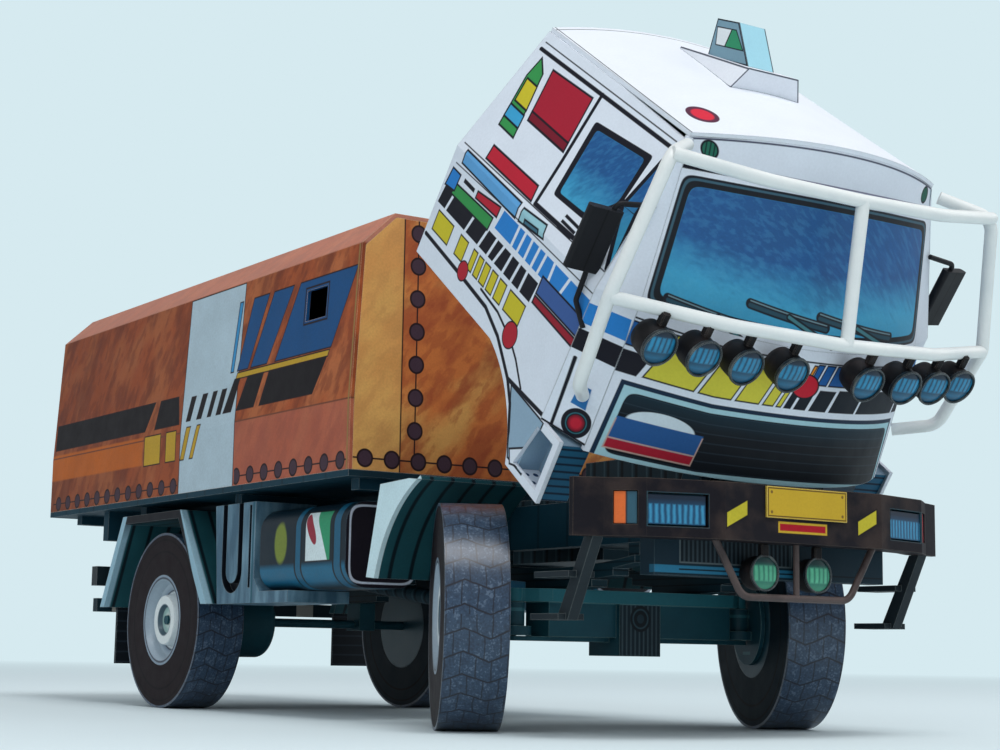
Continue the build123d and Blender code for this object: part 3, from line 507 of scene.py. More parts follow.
front_wall = Sheet("front_wall_card", (196, 110, 56))
canvas(front_wall, (214, 160, 88), (150, 66, 40), -0.6)
edge_strip = front_wall.wide - 27.4
front_wall.wash((220, 168, 96), edge_strip.edge(0.3) * 0.6)
front_wall.lay(canvas_pen, front_wall.wide.near(27.4, 0.14), 0.15)
down = disc(front_wall.wide - 24.2, (front_wall.z - 51.9) % 6.45 - 3.2, 1.6) & (front_wall.z - 51.5)
along = disc((front_wall.wide - 2.6) % 5.9 - 2.95, front_wall.z - 49.2, 1.6) & (37.4 - front_wall.wide)
cord = (front_wall.wide.near(24.2, 0.16) & (front_wall.z - 49.2)) | front_wall.z.near(49.2, 0.16)
front_wall.lay(canvas_pen, cord)
front_wall.outlined(eyelet_ink, down | along, 0.2, canvas_pen, 0.12)
wall_outline = [(-60, 45.6), (38.5, 45.6), (38.5, 60.2), (36.8, 90.5), (29.7, 97.2), (-60, 97.2)]
rim_line = patch(front_wall.wide, front_wall.z, wall_outline, 1.5)
front_wall.lay((74, 56, 24), rim_line.near(0.45, 0.16), 0.2)
dress(front_wall.finish(mottle=0.3, worn=canvas_core), "cargo_front_wall")

back_wall = Sheet("back_wall_card", (182, 96, 52))
canvas(back_wall, (196, 116, 66), (150, 76, 42))
flap_edge = back_wall.wide.near(30.5, 0.2) & (back_wall.z - 46.5)
back_cord = back_wall.wide.near(33.6, 0.14) & back_wall.z.between(49.0, 92.0)
back_eyelet = disc(back_wall.wide - 33.6, (back_wall.z - 51.9) % 6.45 - 3.2, 1.5)
back_eyelet &= back_wall.z.between(51.5, 92.0)
back_wall.lay(canvas_pen, flap_edge | back_cord)
back_wall.outlined(eyelet_ink, back_eyelet, 0.2, canvas_pen, 0.12)
dress(back_wall.finish(mottle=0.3, worn=canvas_core), "cargo_rear_wall")


# Cab sides: one printed sheet each, bent in above the belt, with the wheel arch cut out. The door,
# its windows and vents are drawn on, over rows of plain blocks with slanting white gaps. A pale
# blue-grey patch at the step is painted shade, standing for a recess with a white tread.
cab_turn = math.radians(38)
hinge_run, hinge_z = -37.7, 52.0
card_white = (222, 228, 238)
inside_grey = (140, 160, 172)


def closed_cab(sheet):
    """Where a point of the raised cab stands when the cab is down: along the truck, and its height."""
    back, up = sheet.run - hinge_run, sheet.z - hinge_z
    c, s = math.cos(cab_turn), math.sin(cab_turn)
    return back * c + up * s + hinge_run, up * c - back * s + hinge_z


def closed_facing(sheet):
    """How far a face looks to the back, and how far upward, once the cab is down."""
    c, s = math.cos(cab_turn), math.sin(cab_turn)
    return sheet.face_y * c + sheet.face_z * s, sheet.face_z * c - sheet.face_y * s


def showing(toward, least=0.2):
    """Above zero on the faces that look one way, where toward is 1 on a face square to it."""
    return (toward - least) * 4


def stroke(across, up, points, pen):
    """Millimetres inside a pen line through points."""
    gap = None
    for (x0, y0), (x1, y1) in zip(points, points[1:]):
        dx, dy = x1 - x0, y1 - y0
        share = ((across - x0) * dx + (up - y0) * dy) / (dx * dx + dy * dy)
        share = (share | 0.0) & 1.0
        side, rise = across - (share * dx + x0), up - (share * dy + y0)
        away = side * side + rise * rise
        gap = away if gap is None else gap & away
    return pen / 2 - gap.root()


row_blue, row_red = (40, 128, 204), (186, 32, 52)
row_green, row_yellow = (54, 146, 76), (206, 190, 44)
side_rows = (
    (row_blue, 60.5, 64.3, (-28.5, 5.2, -28.5, 4.2)),
    (pen_black, 55.6, 59.4, (-12.4, 24.6, -12.8, 24.0)),
)
half_gap = 0.35
row_gaps = (
    (60.2, 64.6, (
        (5.3, 4.3), (-1.6, -1.9), (-3.8, -4.3), (-6.5, -6.8),
        (-9.0, -9.5), (-11.3, -11.9), (-15.0, -14.9), (-18.9, -20.3))),
    (55.3, 59.7, (
        (21.4, 20.2), (13.1, 11.7), (7.7, 6.3), (4.0, 2.7),
        (1.6, -0.1), (-2.1, -3.0), (-5.3, -6.1), (-8.4, -8.8))),
)
yellow_squares = (
    (16.7, 23.1), (10.5, 13.6), (6.6, 8.2), (4.1, 5.8),
    (1.4, 3.4), (-1.5, 0.6), (-4.9, -2.4), (-12.0, -6.3),
)
side_blocks = (
    (row_red, ((-0.9, 68.7), (16.3, 68.4), (16.9, 70.8), (0.2, 71.2))),
    ((96, 162, 214), ((0.4, 64.7), (21.7, 64.7), (21.9, 67.2), (0.7, 67.5))),
    (row_red, ((5.5, 62.2), (13.7, 61.8), (13.7, 63.1), (5.4, 64.2))),
    (row_green, ((6.7, 59.1), (21.5, 58.8), (20.8, 61.0), (6.4, 61.6))),
    (row_blue, ((20.8, 59.6), (24.4, 59.2), (23.8, 62.8), (20.6, 62.8))),
    ((60, 92, 152), ((-28.0, 57.8), (-13.2, 57.8), (-13.2, 61.0), (-28.0, 61.0))),
    ((150, 28, 46), ((-28.0, 55.9), (-13.2, 56.1), (-13.2, 57.4), (-28.0, 57.4))),
    ((168, 28, 50), ((0.8, 77.7), (13.9, 77.5), (17.3, 86.1), (3.8, 86.9))),
    ((120, 20, 40), ((0.8, 77.7), (13.9, 77.5), (14.5, 79.0), (1.3, 79.2))),
    (row_green, ((13.9, 73.8), (19.6, 73.8), (22.3, 82.7), (22.0, 86.4), (18.8, 84.5))),
    ((60, 160, 206), ((14.6, 75.4), (20.1, 75.4), (20.7, 77.6), (15.5, 77.6))),
    (row_yellow, ((15.9, 78.4), (20.4, 78.4), (21.6, 82.4), (17.8, 82.4))),
    ((150, 196, 206), ((-0.8, 64.8), (-0.6, 67.2), (-8.1, 67.9), (-9.3, 65.8))),
    ((64, 110, 130), ((-2.6, 65.1), (-2.4, 65.9), (-7.0, 66.4), (-7.4, 65.6))),
    # Painted shade: the pale blue-grey patch stands for the shaded inside of a step recess, and the
    # white patch below it for the recess's tread.
    ((144, 170, 190), ((-16.7, 42.3), (-23.4, 32.3), (-28.6, 32.3), (-28.6, 42.3))),
    (card_white, ((-23.0, 33.7), (-29.6, 38.3), (-32.2, 34.8), (-24.6, 31.8))),
)
side_lines = (
    (0.8, ((2.4, 88.2), (-0.4, 76.8), (-2.1, 68.9), (-8.5, 69.1), (-16.0, 69.4))),
    (0.22, ((24.0, 67.7), (-2.0, 68.4), (-27.4, 69.2))),
    (0.22, ((23.5, 63.9), (-2.0, 65.0), (-27.4, 65.5))),
    (0.8, (
        (24.5, 49.2), (9.7, 48.9), (-1.5, 48.5), (-7.9, 46.5), (-11.9, 44.3), (-15.1, 42.5),
        (-18.4, 39.6), (-21.0, 35.8), (-23.1, 30.8))),
    (0.5, ((1.8, 50.2), (-5.3, 49.7), (-11.6, 48.0), (-15.2, 46.2), (-19.5, 43.2))),
    (0.8, ((-15.1, 42.5), (-28.0, 43.2))),
    (0.7, ((24.0, 87.4), (-20.6, 89.1))),
    (0.22, ((24.0, 88.7), (-19.6, 90.2))),
)
window_frame = [(-0.7, 84.6), (-17.6, 86.4), (-19.1, 77.6), (-14.6, 72.4), (-4.2, 71.9)]
window_glass = [(-2.4, 83.7), (-16.4, 85.2), (-18.1, 77.8), (-13.9, 73.3), (-5.2, 72.8)]
quarter_upper = [(-20.1, 86.0), (-19.6, 77.9), (-23.0, 78.1), (-21.9, 85.5)]
quarter_lower = [(-19.6, 78.2), (-26.2, 70.0), (-26.8, 69.8), (-23.0, 78.3)]


def glass_wash(sheet, shape, high, change, reach=6.0):
    """Windows are painted on the card: bright blue below, deeper blue above, in brushed strokes."""
    brushed = sheet.cloud(700, 6.0, 0.5, 1.2) - 0.5
    soft = sheet.cloud(60, 3.0) - 0.5
    sheet.lay((62, 160, 200), shape)
    deep = ((high - change) / reach + soft * 1.2 + brushed * 0.25).edge(1.1)
    sheet.wash((34, 92, 150), deep * shape.edge())
    dark = (brushed + soft * 1.2 + (high - change) / 40).past(0.0, 1, 0.3)
    sheet.wash((24, 58, 100), dark * shape.edge())
    sheet.wash((96, 178, 206), brushed.past(0.0, -0.8, 0.1) * shape.edge())


side = Sheet("cab_side_card", card_white)
run, high = closed_cab(side)
outer = side.printed = showing(side.face_x * side.x.math("SIGN"), 0.3)
for colour, low, top, ends in side_rows:
    side.lay(colour, leaning(run, high, low, top, *ends))
for low, top, gaps in row_gaps:
    for at_low, at_top in gaps:
        gap = (at_low - half_gap, at_low + half_gap, at_top - half_gap, at_top + half_gap)
        side.lay(card_white, leaning(run, high, low, top, *gap))
for start, stop in yellow_squares:
    side.outlined(row_yellow, run.between(start, stop) & high.between(50.8, 54.6), 0.14)
for colour, corners in side_blocks:
    side.outlined(colour, patch(run, high, corners), 0.18)
for pen, points in side_lines:
    side.lay(pen_black, stroke(run, high, points, pen), 0.15)
label = run.between(14.0, 19.8) & high.between(61.6, 63.6)
side.lay(card_white, label)
side.lay(pen_black, run.between(14.8, 19.0) & high.between(62.2, 63.0))
for centre, size in (((9.0, 49.8), 1.7), ((-11.0, 48.5), 2.2)):
    spot = oval_at(run - centre[0], high - centre[1], size, size * 1.05)
    side.outlined((176, 34, 50), spot, blur=0.12)
side.lay(pen_black, patch(run, high, window_frame, 1.2))
glass = patch(run, high, window_glass, 1.2)
quarter = patch(run, high, quarter_upper) | patch(run, high, quarter_lower)
side.lay(pen_black, quarter + 0.7)
glass_wash(side, outer & (glass | (quarter - 0.2)), high, 76.5)
for level in (71.0, 70.0, 69.0):
    side.lay(pen_black, run.between(-14.8, -10.2) & high.near(level, 0.27))
side.wash(inside_grey, (-2.4 - outer).edge())
dress(side.finish(mottle=0.12, worn=(196, 200, 204), wear=0.6), "cab_sides")


# Cab corners: narrow strips glued between the sides and the front. The rows of blocks go round
# them, and a red lamp in a black ring is drawn at the foot of each.
corner = Sheet("cab_corner_card", card_white)
run, high = closed_cab(corner)
outer = corner.printed = showing(corner.face_x * corner.x.math("SIGN"))
corner.lay(row_blue, high.between(60.4, 63.9) & (corner.wide - 31.0))
corner.lay(pen_black, high.between(55.9, 59.4) & (corner.wide - 31.0))
corner.lay((40, 110, 170), high.between(47.5, 51.0) & (-30.2 - run) & (corner.wide - 33.2))
lamp = disc((run + 32.2) * 1.18, high - 44.9, 2.5)
corner.lay(pen_black, lamp | (42.75 - high))
corner.lay((44, 100, 112), lamp.near(0.8, 0.1))
corner.lay((120, 16, 36), lamp - 1.1)
corner.lay((190, 26, 50), lamp - 1.5, 0.5)
corner.lay(pen_black, stroke(run, high, ((-28.2, 54.6), (-29.2, 42.6)), 0.5), 0.15)
corner.wash(inside_grey, (-2.4 - outer).edge())
dress(corner.finish(mottle=0.12, worn=(196, 200, 204), wear=0.6), "cab_corners")


# Cab front: a sheet bowed between the corners. Its printed rows follow the bow, and the grille
# is a dark rounded panel inside two drawn frames.
front_half_width = 30.0
front = Sheet("cab_front_card", card_white)
high = closed_cab(front)[1]
x = front.x
bow = x * x / front_half_width**2
level = high + bow * (1.6 + (62 - high) * 0.12) - ((-16 - x) | 0.0) * 0.08
outer = front.printed = showing(-front.face_y)
front_yellow, front_blue, front_dark = (212, 202, 66), (30, 92, 160), (10, 22, 34)
front_rows = (
    (front_blue, 60.8, 64.2, ((-34.0, -24.6, -34.0, -23.2),)),
    (pen_black, 57.0, 60.0, ((-34.0, -28.4, -34.0, -27.0),)),
    (front_yellow, 57.1, 64.2, (
        (-27.4, -19.5, -23.9, -16.0), (-18.7, -13.1, -15.2, -9.6), (-12.3, -8.0, -8.8, -4.5),
        (-7.2, -5.2, -3.7, -1.7), (-4.5, -3.6, -1.0, -0.1))),
    ((222, 140, 40), 61.2, 64.2, ((0.4, 1.0, 1.6, 2.3),)),
    (front_dark, 57.1, 60.5, ((-2.9, -1.6, -1.3, 0.0), (-0.8, 1.6, 0.8, 3.2))),
    (front_dark, 57.1, 60.3, ((2.6, 6.4, 4.2, 8.0),)),
    (front_dark, 57.1, 60.5, (
        (7.4, 14.1, 9.0, 15.7), (14.9, 28.0, 16.5, 29.6), (28.8, 32.0, 30.4, 33.0))),
    (front_blue, 61.2, 64.4, (
        (1.4, 2.6, 2.6, 4.0), (3.2, 5.2, 4.6, 6.6), (5.8, 13.6, 7.2, 15.0),
        (14.2, 26.0, 15.6, 27.4), (26.6, 33.0, 28.0, 33.0))),
)
print_rows(front, x, level, front_rows)
front.lay(pen_black, level.near(64.7, 0.13), 0.15)
badge = oval_at(x - 0.6, level - 60.8, 2.9, 1.9)
front.outlined((192, 24, 46), badge)
ends = 37.8 - level * 0.137 - abs(x)
from_edge = ends & (56.0 - level) & (level - 44.0)
rounded = (ends - 1.6).math("SMOOTH_MIN", 54.45 - level, 2.5).math("SMOOTH_MIN", level - 45.6, 2.5)
front.lay((16, 40, 64), from_edge)
front.lay((164, 204, 214), from_edge - 0.65)
front.lay(pen_black, rounded + 0.15)
front.lay((4, 12, 22), rounded)
panel = (outer & rounded).edge()
front.wash((18, 48, 62), (level - 52.8).edge(3.0) * panel * 0.7)
front.wash((54, 74, 88), (level % 1.45).near(0.7, 0.08).edge(0.14) * panel * 0.3)
label = leaning(x, level, 46.2, 50.9, -30.2, -17.2, -29.4, -16.1)
crown = oval_at(x + 22.9, level - 50.7, 5.3, 2.0) & (level - 50.8)
front.lay((206, 220, 228), crown)
front.lay((34, 84, 142), label)
front.lay((166, 24, 46), label & (47.6 - level))
label_lines = (label.near(0.0, 0.1) & (50.6 - level)) | (label & level.near(47.7, 0.1))
front.lay((190, 160, 150), label_lines, 0.15)
front.wash(inside_grey, (-2.0 - outer).edge())
dress(front.finish(mottle=0.14, worn=(196, 204, 208), wear=0.6), "cab_front_panel")


# Windscreen: painted blue patches inside a black rubber frame, which is drawn with a lighter
# core and rounded corners. Three wipers are drawn over its foot.
screen_half_width, screen_crown = 28.0, 2.6
screen = Sheet("windscreen_card", card_white)
high = closed_cab(screen)[1]
x = screen.x
outer = screen.printed = showing(-screen.face_y)
foot = high - 67.2 + (x * x / front_half_width**2) * 0.6
top = 87.0 - high + (1 - x * x / screen_half_width**2) * screen_crown
ends = 30.5 - (high - 66.5) * 0.146 - abs(x)
from_edge = ends.math("SMOOTH_MIN", foot, 2.4).math("SMOOTH_MIN", top, 2.4)
screen.lay(pen_black, from_edge - 0.5)
screen.lay((56, 90, 106), from_edge - 0.85)
screen.lay((10, 14, 24), from_edge - 1.2)
glass_wash(screen, outer & (from_edge - 2.0), high, 75.5)
wipers = (
    (((-26.6, 68.8), (-12.2, 68.0)), ((-18.4, 68.4), (-13.0, 65.6))),
    (((-13.4, 71.6), (2.4, 70.1)), ((-5.8, 70.9), (4.4, 67.4))),
    (((0.5, 71.7), (19.6, 69.0)), ((9.8, 70.5), (21.5, 66.6))),
)
for blade, arm in wipers:
    screen.lay(pen_black, stroke(x, high, blade, 1.6), 0.15)
    screen.lay((34, 74, 90), stroke(x, high, [(a, b - 0.2) for a, b in blade], 0.6), 0.2)
    screen.lay((120, 150, 160), stroke(x, high, [(a, b + 0.45) for a, b in blade], 0.18), 0.15)
    screen.lay(pen_black, stroke(x, high, arm, 1.1), 0.15)
    screen.lay((70, 130, 140), stroke(x, high, arm, 0.5), 0.15)
screen.wash(inside_grey, (-2.0 - outer).edge())
dress(screen.finish(roughness=0.45, mottle=0.16, wear=0.3, gloss=0.3), "windscreen")


# Header and roof: plain white card, with a dark line where they meet, a round green marker lamp
# at each end of the header, and a red oval near the roof's right edge.
header = Sheet("header_card", card_white)
high = closed_cab(header)[1]
x = header.x
outer = header.printed = showing(-header.face_y)
foot = 87.8 + (1 - x * x / screen_half_width**2) * screen_crown
header.lay(pen_black, foot + 0.5 - high)
header.lay((120, 116, 140), (high - foot).near(0.9, 0.12), 0.15)
header.lay((70, 72, 92), (high + x * x / 156).near(96.4, 0.14), 0.15)
marker = disc(abs(x) - 23.9, high - 91.2, 1.25)
header.lay((34, 104, 84), marker)
header.lay((12, 40, 40), marker & (x % 0.62).near(0.31, 0.1), 0.15)
header.lay(pen_black, marker.near(0.0, 0.15), 0.15)
header.wash(inside_grey, (-2.0 - outer).edge())
dress(header.finish(mottle=0.1, worn=(196, 200, 204), wear=0.6), "cab_header")

roof = Sheet("roof_card", (232, 236, 244))
run, high = closed_cab(roof)
above = closed_facing(roof)[1]
roof.printed = showing(above)
sign = oval_at(roof.x + 21.6, run + 15.2, 2.4, 3.4)
roof.lay((84, 30, 60), sign)
roof.lay((216, 30, 58), sign - 0.75, 0.3)
roof.lay(pen_black, roof.wide.near(26.9, 0.1))
roof.lay(pen_black, run.near(24.0, 0.12))
roof.wash(inside_grey, showing(-above, 0.5).edge())
dress(roof.finish(mottle=0.08, worn=(200, 204, 208), wear=0.6), "cab_roof")


# Roof scoop: a folded wedge with a small box on top. The box is grey-blue with a pale blue mouth,
# and a framed window, half green and half white, is drawn on each side.
crease_grey = (60, 64, 80)
scoop = Sheet("scoop_card", (230, 233, 240))
run, high = closed_cab(scoop)
back, above = closed_facing(scoop)
flank = (abs(scoop.face_x) - 0.6) & (3.4 - scoop.wide)
box_shape = patch(run, high, [(1.6, 99.0), (8.5, 104.3), (14.3, 102.7), (12.7, 96.0)])
window = patch(run, high, [(13.3, 101.4), (8.3, 102.8), (4.7, 100.7), (11.9, 98.8)])
scoop.lay((126, 160, 176), flank)
scoop.lay(pen_black, flank & box_shape.near(0.0, 0.25), 0.15)
scoop.lay(pen_black, flank & (window + 0.2))
scoop.lay((52, 146, 104), flank & window & (9.3 - run))
scoop.lay((232, 238, 240), flank & window & (run - 9.6))
mouth = showing(-back, 0.3) & (3.4 - scoop.wide) & (run - 1.3)
scoop.lay((160, 210, 225), mouth)
scoop.lay(pen_black, mouth & scoop.wide.near(2.9, 0.12), 0.15)
nose = showing(-back, 0.3) & (-1.2 - run)
nose_edge = (7.9 - (high - 95.6) * 0.55 - scoop.wide) & (99.8 - high) & (high - 95.6)
scoop.lay(crease_grey, nose & nose_edge.near(0.12, 0.14), 0.15)
cheek = (abs(scoop.face_x) - 0.3) & (scoop.wide - 4.0)
fall = (run + 2.1) * 0.11
creases = (high + fall * 2).near(99.6, 0.14) | (high + fall).near(95.8, 0.14)
scoop.lay(crease_grey, cheek & creases, 0.15)
dress(scoop.finish(mottle=0.1, wear=0.7, worn=(120, 128, 138)), "roof_scoop")


# Back wall, floor and step boxes of the cab: blue-grey card. The back wall is paler, with a drawn
# seam and two painted windows, and the steps have a dotted white tread.
shell = Sheet("cab_shell_card", (120, 146, 158))
run, high = closed_cab(shell)
rear = shell.printed = showing(closed_facing(shell)[0], 0.5)
shell.lay((206, 214, 224), high - 50.2)
shell.lay(pen_black, high.near(66.4, 0.14), 0.15)
rear_glass = (shell.wide - 4.6) & (22.4 - shell.wide) & high.between(70.5, 84.0)
shell.lay(pen_black, rear_glass + 0.6)
glass_wash(shell, rear & rear_glass, high, 79.0)
dress(shell.finish(mottle=0.15), "cab_rear_wall", "cab_floor")

step = Sheet("step_card", (144, 170, 190))
run, high = closed_cab(step)
back, above = closed_facing(step)
tread = showing(above, 0.5) & (36.0 - high)
step.lay(card_white, tread)
step.lay((30, 60, 100), tread & disc((run % 2.4) - 1.2, (step.wide % 1.8) - 0.9, 0.5))
under = (showing(-back, 0.5) & (-33.6 - run)) | (showing(-above, 0.5) & (31.4 - high))
step.lay((30, 92, 124), under)
step.lay((12, 34, 54), under & (high % 1.4).near(0.3, 0.2), 0.2)
dress(step.finish(mottle=0.15, wear=0.6), "cab_steps")


# Bull bar: white plastic rod, bent warm and glued at the joints, a little glossy.
rod = Sheet("bull_bar_rod", (232, 234, 232))
rod.wash((196, 206, 210), (rod.cloud(120) - 0.35) * 0.8)
dress(rod.finish(roughness=0.34, mottle=0.05, grain=0.12, wear=0.0, gloss=0.5), "bull_bar")


# Spotlights: eight rolled black cans hung under the lower tube on folded tabs. Each has a grey
# rim and a bulging lens printed with upright blue bars.
hinge = Vector((0.0, front_axle_y + hinge_run, hinge_z)) / 1000
raise_cab = Matrix.Translation(hinge) @ Matrix.Rotation(cab_turn, 4, "X") @ Matrix.Translation(-hinge)


def add_piece(name, mesh, material, body, stands_for):
    """Closes a mesh, keeps its creases sharp, and hangs the piece on its body."""
    bmesh.ops.recalc_face_normals(mesh, faces=mesh.faces)
    for face in mesh.faces:
        face.smooth = True
    for edge in mesh.edges:
        edge.smooth = edge.is_manifold and edge.calc_face_angle(0) < math.radians(38)
    data = bpy.data.meshes.new(name)
    mesh.to_mesh(data)
    mesh.free()
    data.materials.append(material)
    piece = bpy.data.objects.new(name, data)
    bpy.context.scene.collection.objects.link(piece)
    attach(piece, body)
    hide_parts(stands_for)


def turn_profile(mesh, profile, place, spot, sides=40):
    """Turns a profile, in radius and depth, round an axis that runs back from a spot."""
    x, y, z = spot
    rings = []
    for radius, depth in profile:
        ring = []
        for step in range(sides if radius else 1):
            a = 2 * math.pi * step / sides
            corner = Vector((x + radius * math.cos(a), y + depth, z + radius * math.sin(a)))
            ring.append(mesh.verts.new(place @ (corner / 1000)))
        rings.append(ring)
    for ring, following in zip(rings, rings[1:]):
        for step in range(sides):
            corners = [ring[step % len(ring)], ring[(step + 1) % len(ring)],
                       following[(step + 1) % len(following)], following[step % len(following)]]
            mesh.faces.new(list(dict.fromkeys(corners)))


def fold_tab(mesh, place, low, high, fold=0.2):
    """A small folded tab with softened edges, between two corners."""
    made = bmesh.ops.create_cube(mesh, size=1)["verts"]
    middle = [(a + b) / 2 for a, b in zip(low, high)]
    for vert in made:
        grown = [m + v * (b - a) for m, v, a, b in zip(middle, vert.co, low, high)]
        vert.co = place @ (Vector(grown) / 1000)
    edges = dict.fromkeys(edge for vert in made for edge in vert.link_edges)
    bmesh.ops.bevel(mesh, geom=list(edges), offset=fold / 1000, segments=2, affect="EDGES")


lamp_parts = (
    ("cans", (
        (0.0, 1.0), (2.7, 1.0), (2.95, 0.5), (3.0, 2.2),
        (2.95, 3.6), (2.7, 4.7), (2.3, 5.1), (0.0, 5.2))),
    ("rims", (
        (2.8, 0.45), (2.86, 0.12), (3.02, 0.0), (3.18, 0.12), (3.2, 0.55), (3.1, 0.8), (2.9, 0.85))),
    ("lenses", ((0.0, 0.02), (0.9, 0.05), (1.8, 0.16), (2.4, 0.3), (2.88, 0.45))),
)


def lamp_finishes(name, base, bright, middle_z, closed):
    """The can, the rim and the barred lens of a lamp."""
    can = Sheet(name + "_can", (20, 18, 20))
    can.wash((54, 44, 42), can.cloud(260, 4.0).past(0.5, 3))
    edge_card = Sheet(name + "_rim", (38, 44, 48))
    edge_card.wash((96, 100, 98), edge_card.cloud(500, 3.0).past(0.5, 4))
    glass = Sheet(name + "_lens", base)
    high = closed_cab(glass)[1] if closed else glass.z
    across = glass.x + glass.cloud(300) * 0.4
    upper = high.between(middle_z - 0.9, middle_z + 1.6)
    glass.wash(bright, high.near(middle_z - 1.9, 0.6).edge(1.2) * 0.4)
    glass.wash(bright, (upper & (across % 1.0).near(0.5, 0.34)).edge(0.35) * (glass.cloud(500) + 0.35))
    glass.wash((8, 24, 40), (high - middle_z - 1.8).edge(0.8) * 0.8)
    return (
        can.finish(wear=0.35, worn=(110, 100, 96)),
        edge_card.finish(roughness=0.4, wear=0.6),
        glass.finish(roughness=0.32, mottle=0.2, grain=0.15, wear=0.0, gloss=0.4),
    )


spot_centres = ((8.3, -46.0), (17.4, -45.4), (25.2, -44.2), (32.8, -42.4))
spot_places = [(side * x, front_axle_y + run, 65.0) for x, run in spot_centres for side in (-1, 1)]
spot_finishes = lamp_finishes("spotlight", (10, 50, 76), (40, 142, 186), 65.2, True)
for (part_name, profile), material in zip(lamp_parts, spot_finishes):
    mesh = bmesh.new()
    for x, y, z in spot_places:
        turn_profile(mesh, profile, raise_cab, (x, y, z))
        if part_name == "cans":
            fold_tab(mesh, raise_cab, (x - 0.7, y + 1.6, 67.9), (x + 0.7, y + 3.0, 70.2))
    add_piece("spotlight_" + part_name, mesh, material, "cab", "spot_lamps")


# Door mirrors: black card cases with a crease down the back, on thin bent arms.
mirror = Sheet("mirror_card", (14, 14, 18))
high = closed_cab(mirror)[1]
mirror.wash((36, 38, 44), mirror.cloud(180, 3.0, 0.4) * 0.6)
mirror.lay((4, 4, 8), mirror.wide.near(38.7, 0.12) & high.between(67.5, 79.3), 0.2)
dress(mirror.finish(roughness=0.5, wear=0.5, worn=(80, 82, 86)), "mirrors")


# Bumper: a box bent round the front from dark brown card, its folds rubbed pale. It has pockets
# for the lamps, and yellow and red patches printed on its face.
bumper = Sheet("bumper_card", (28, 25, 30))
bumper.wash((74, 60, 54), bumper.cloud(130, 5.0).past(0.5, 4, 0.6))
bumper.wash((22, 22, 30), bumper.cloud(60) * 0.5)
pocket = bumper.wide.between(19.7, 30.0) & (bumper.run + 45.6 - (bumper.wide - 19.7) * 0.262)
side_pocket = bumper.wide.between(30.9, 34.4) & bumper.z.between(33.1, 38.5)
bumper.lay((28, 72, 86), pocket & bumper.z.between(32.9, 38.3))
bumper.lay((16, 40, 52), side_pocket & (bumper.run + 41.6 - (bumper.wide - 31) * 0.77))
bumper.printed = showing(-bumper.face_y, 0.4)
for left in (-16.8, 11.5):
    corners = [(left, 33.1), (left + 4.4, 35.3), (left + 4.4, 37.8), (left, 35.6)]
    bumper.outlined((190, 176, 52), patch(bumper.x, bumper.z, corners), ink=(28, 24, 28))
strip = bumper.x.between(-6.0, 4.6) & bumper.z.between(32.9, 34.7)
bumper.lay((196, 160, 50), strip)
bumper.lay((164, 26, 40), strip - 0.35)
dress(bumper.finish(mottle=0.3, worn=(96, 84, 76), wear=0.9, gloss=0.1), "bumper")

bumper_step = Sheet("bumper_step_card", (20, 26, 32))
bumper_step.wash((48, 62, 68), bumper_step.cloud(120) * 0.5)
dress(bumper_step.finish(worn=(110, 118, 118), wear=0.8), "bumper_steps")


# Headlamps and indicators: strips of printed card at the back of the bumper's pockets. Upright
# bars stand for the glass. Outside them is an amber lens on the right and a red one on the left.
lamp_strip = Sheet("headlamp_card", (10, 30, 50))
glass = 30.2 - lamp_strip.wide
lamp_strip.lay((16, 70, 104), glass & (36.6 - lamp_strip.z), 1.4)
bars = (lamp_strip.x + lamp_strip.cloud(400) * 0.5) % 0.95
lamp_strip.lay((54, 138, 178), glass & bars.near(0.5, 0.24) & lamp_strip.z.between(33.5, 36.4), 0.3)
outer = lamp_strip.wide - 32.3
lamp_strip.lay((40, 84, 102), lamp_strip.wide - 30.6)
lamp_strip.lay((222, 104, 40), outer & (-lamp_strip.x) & (33.9 - lamp_strip.wide))
lamp_strip.lay((190, 40, 44), outer & lamp_strip.x)
lamp_strip.lay((20, 30, 38), outer.near(0.0, 0.1), 0.15)
dress(lamp_strip.finish(roughness=0.4, mottle=0.2, grain=0.15, wear=0.0, gloss=0.4), "headlamps")


# Number plate: a blank yellow strip with a drawn edge, glued to the bumper.
plate = Sheet("plate_card", (196, 160, 42))
border = (8.7 - plate.wide) & (2.5 - abs(plate.z - 37.7))
plate.lay((90, 66, 30), border.near(0.28, 0.1))
rivet = disc(plate.wide - 7.7, abs(plate.z - 37.7) - 1.6, 0.26)
plate.lay((120, 92, 40), rivet)
dress(plate.finish(roughness=0.5, mottle=0.16, wear=0.7, worn=(236, 222, 160)), "number_plate")


# Fog lamps: two rolled cans on tabs under the bumper, with green barred lenses, inside a guard
# bent from rod and painted brown-grey.
fog_finishes = lamp_finishes("fog_lamp", (30, 108, 92), (96, 190, 150), 26.2, False)
fog_y, flat_place = front_axle_y - 42.8, Matrix.Identity(4)
for (part_name, profile), material in zip(lamp_parts, fog_finishes):
    mesh = bmesh.new()
    for x in (-5.8, 5.8):
        short = [(radius * 0.93, depth * 0.77) for radius, depth in profile]
        turn_profile(mesh, short, flat_place, (x, fog_y, 26.6))
        if part_name == "cans":
            fold_tab(mesh, flat_place, (x - 0.8, fog_y, 29.1), (x + 0.8, fog_y + 1.2, 31.3))
    add_piece("fog_lamp_" + part_name, mesh, material, "chassis", "fog_lamps")

guard_rod = Sheet("guard_rod", (84, 72, 70))
guard_rod.wash((40, 34, 36), guard_rod.cloud(160, 4.0).past(0.45, 3))
dress(guard_rod.finish(roughness=0.4, wear=0.0), "lamp_guard")


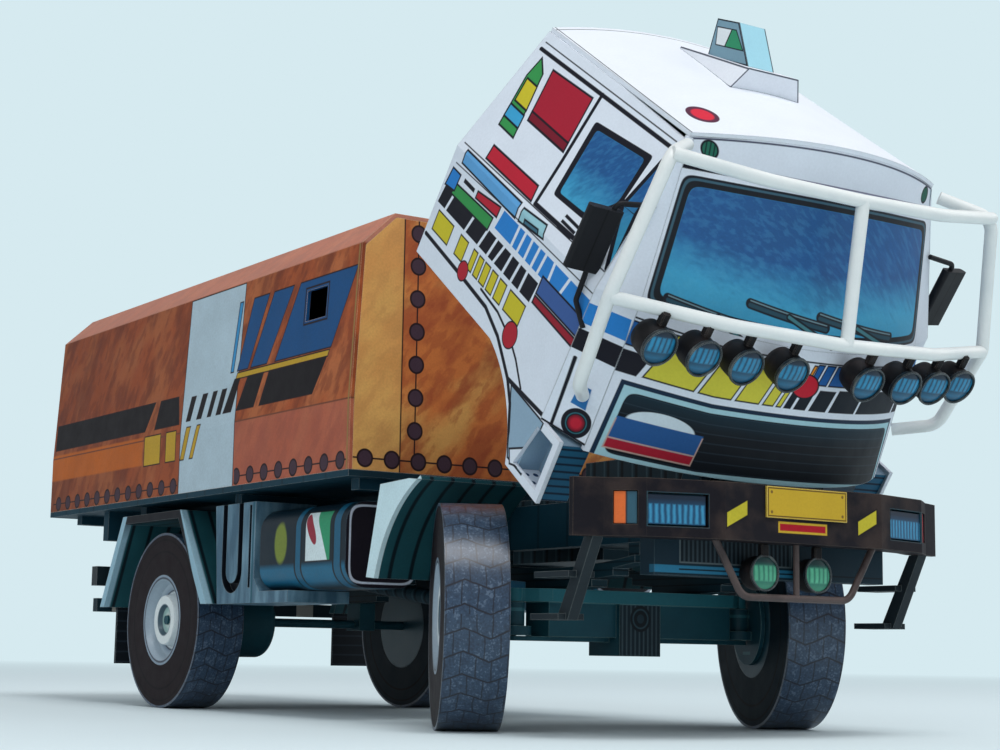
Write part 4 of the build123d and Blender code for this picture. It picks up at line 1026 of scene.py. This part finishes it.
# Table and background: a plain pale sheet that the model stands on and that runs out into the
# pale room, under one lamp overhead and a soft one on each side.
class Surroundings(Sheet):
    """Nodes of the table or the room, which need no printed places."""

    def __init__(self, tree):
        self.tree = tree
        tree.nodes.clear()
        path = self.node("ShaderNodeLightPath")
        self.seen = path["Is Camera Ray"]

    def glow(self, kind, strength, colour=(214, 234, 240)):
        return self.node(kind, {}, {"Color": colour, "Strength": strength})

    def blend(self, share, first, second):
        return self.node("ShaderNodeMixShader", {}, {0: share, 1: first, 2: second})["Shader"]


stage_sheet = bpy.data.materials.new("pale_table")
stage_sheet.use_nodes = True
tabletop = Surroundings(stage_sheet.node_tree)
place = tabletop.node("ShaderNodeTexCoord")["Object"]
away = tabletop.node("ShaderNodeVectorMath", {"operation": "LENGTH"}, {0: place})["Value"]
paper_top = tabletop.node("ShaderNodeBsdfPrincipled", {}, {
    "Base Color": (222, 236, 240), "Roughness": 0.9, "Specular IOR Level": 0.2})["BSDF"]
haze = tabletop.glow("ShaderNodeEmission", 1.0)["Emission"]
share = (away - 0.9).edge(1.0) * tabletop.seen
tabletop.node("ShaderNodeOutputMaterial", {}, {"Surface": tabletop.blend(share, paper_top, haze)})
mesh = bmesh.new()
bmesh.ops.create_circle(mesh, cap_ends=True, radius=9.0, segments=96)
table_data = bpy.data.meshes.new("table")
mesh.to_mesh(table_data)
mesh.free()
table_data.materials.append(stage_sheet)
table = bpy.data.objects.new("table", table_data)
bpy.context.scene.collection.objects.link(table)

world = bpy.data.worlds.new("room")
bpy.context.scene.world = world
world.use_nodes = True
room = Surroundings(world.node_tree)
soft_light = room.glow("ShaderNodeBackground", 0.5, (236, 244, 250))["Background"]
backdrop = room.glow("ShaderNodeBackground", 1.0)["Background"]
room.node("ShaderNodeOutputWorld", {}, {"Surface": room.blend(room.seen, soft_light, backdrop)})

for lamp_name, spot, size, power in (
    ("overhead", (-0.1, -0.65, 1.3), 0.6, 9.6),
    ("shoulder", (-0.95, -0.75, 0.75), 0.8, 2.6),
    ("far_side", (1.0, -0.4, 0.8), 1.0, 3.0),
):
    light = bpy.data.lights.new(lamp_name, "AREA")
    light.size = size
    light.energy = power
    holder = bpy.data.objects.new(lamp_name, light)
    holder.location = spot
    holder.rotation_euler = (Vector((0, 0, 0.05)) - Vector(spot)).to_track_quat("-Z", "Y").to_euler()
    bpy.context.scene.collection.objects.link(holder)
bpy.context.scene.view_settings.view_transform = "Standard"
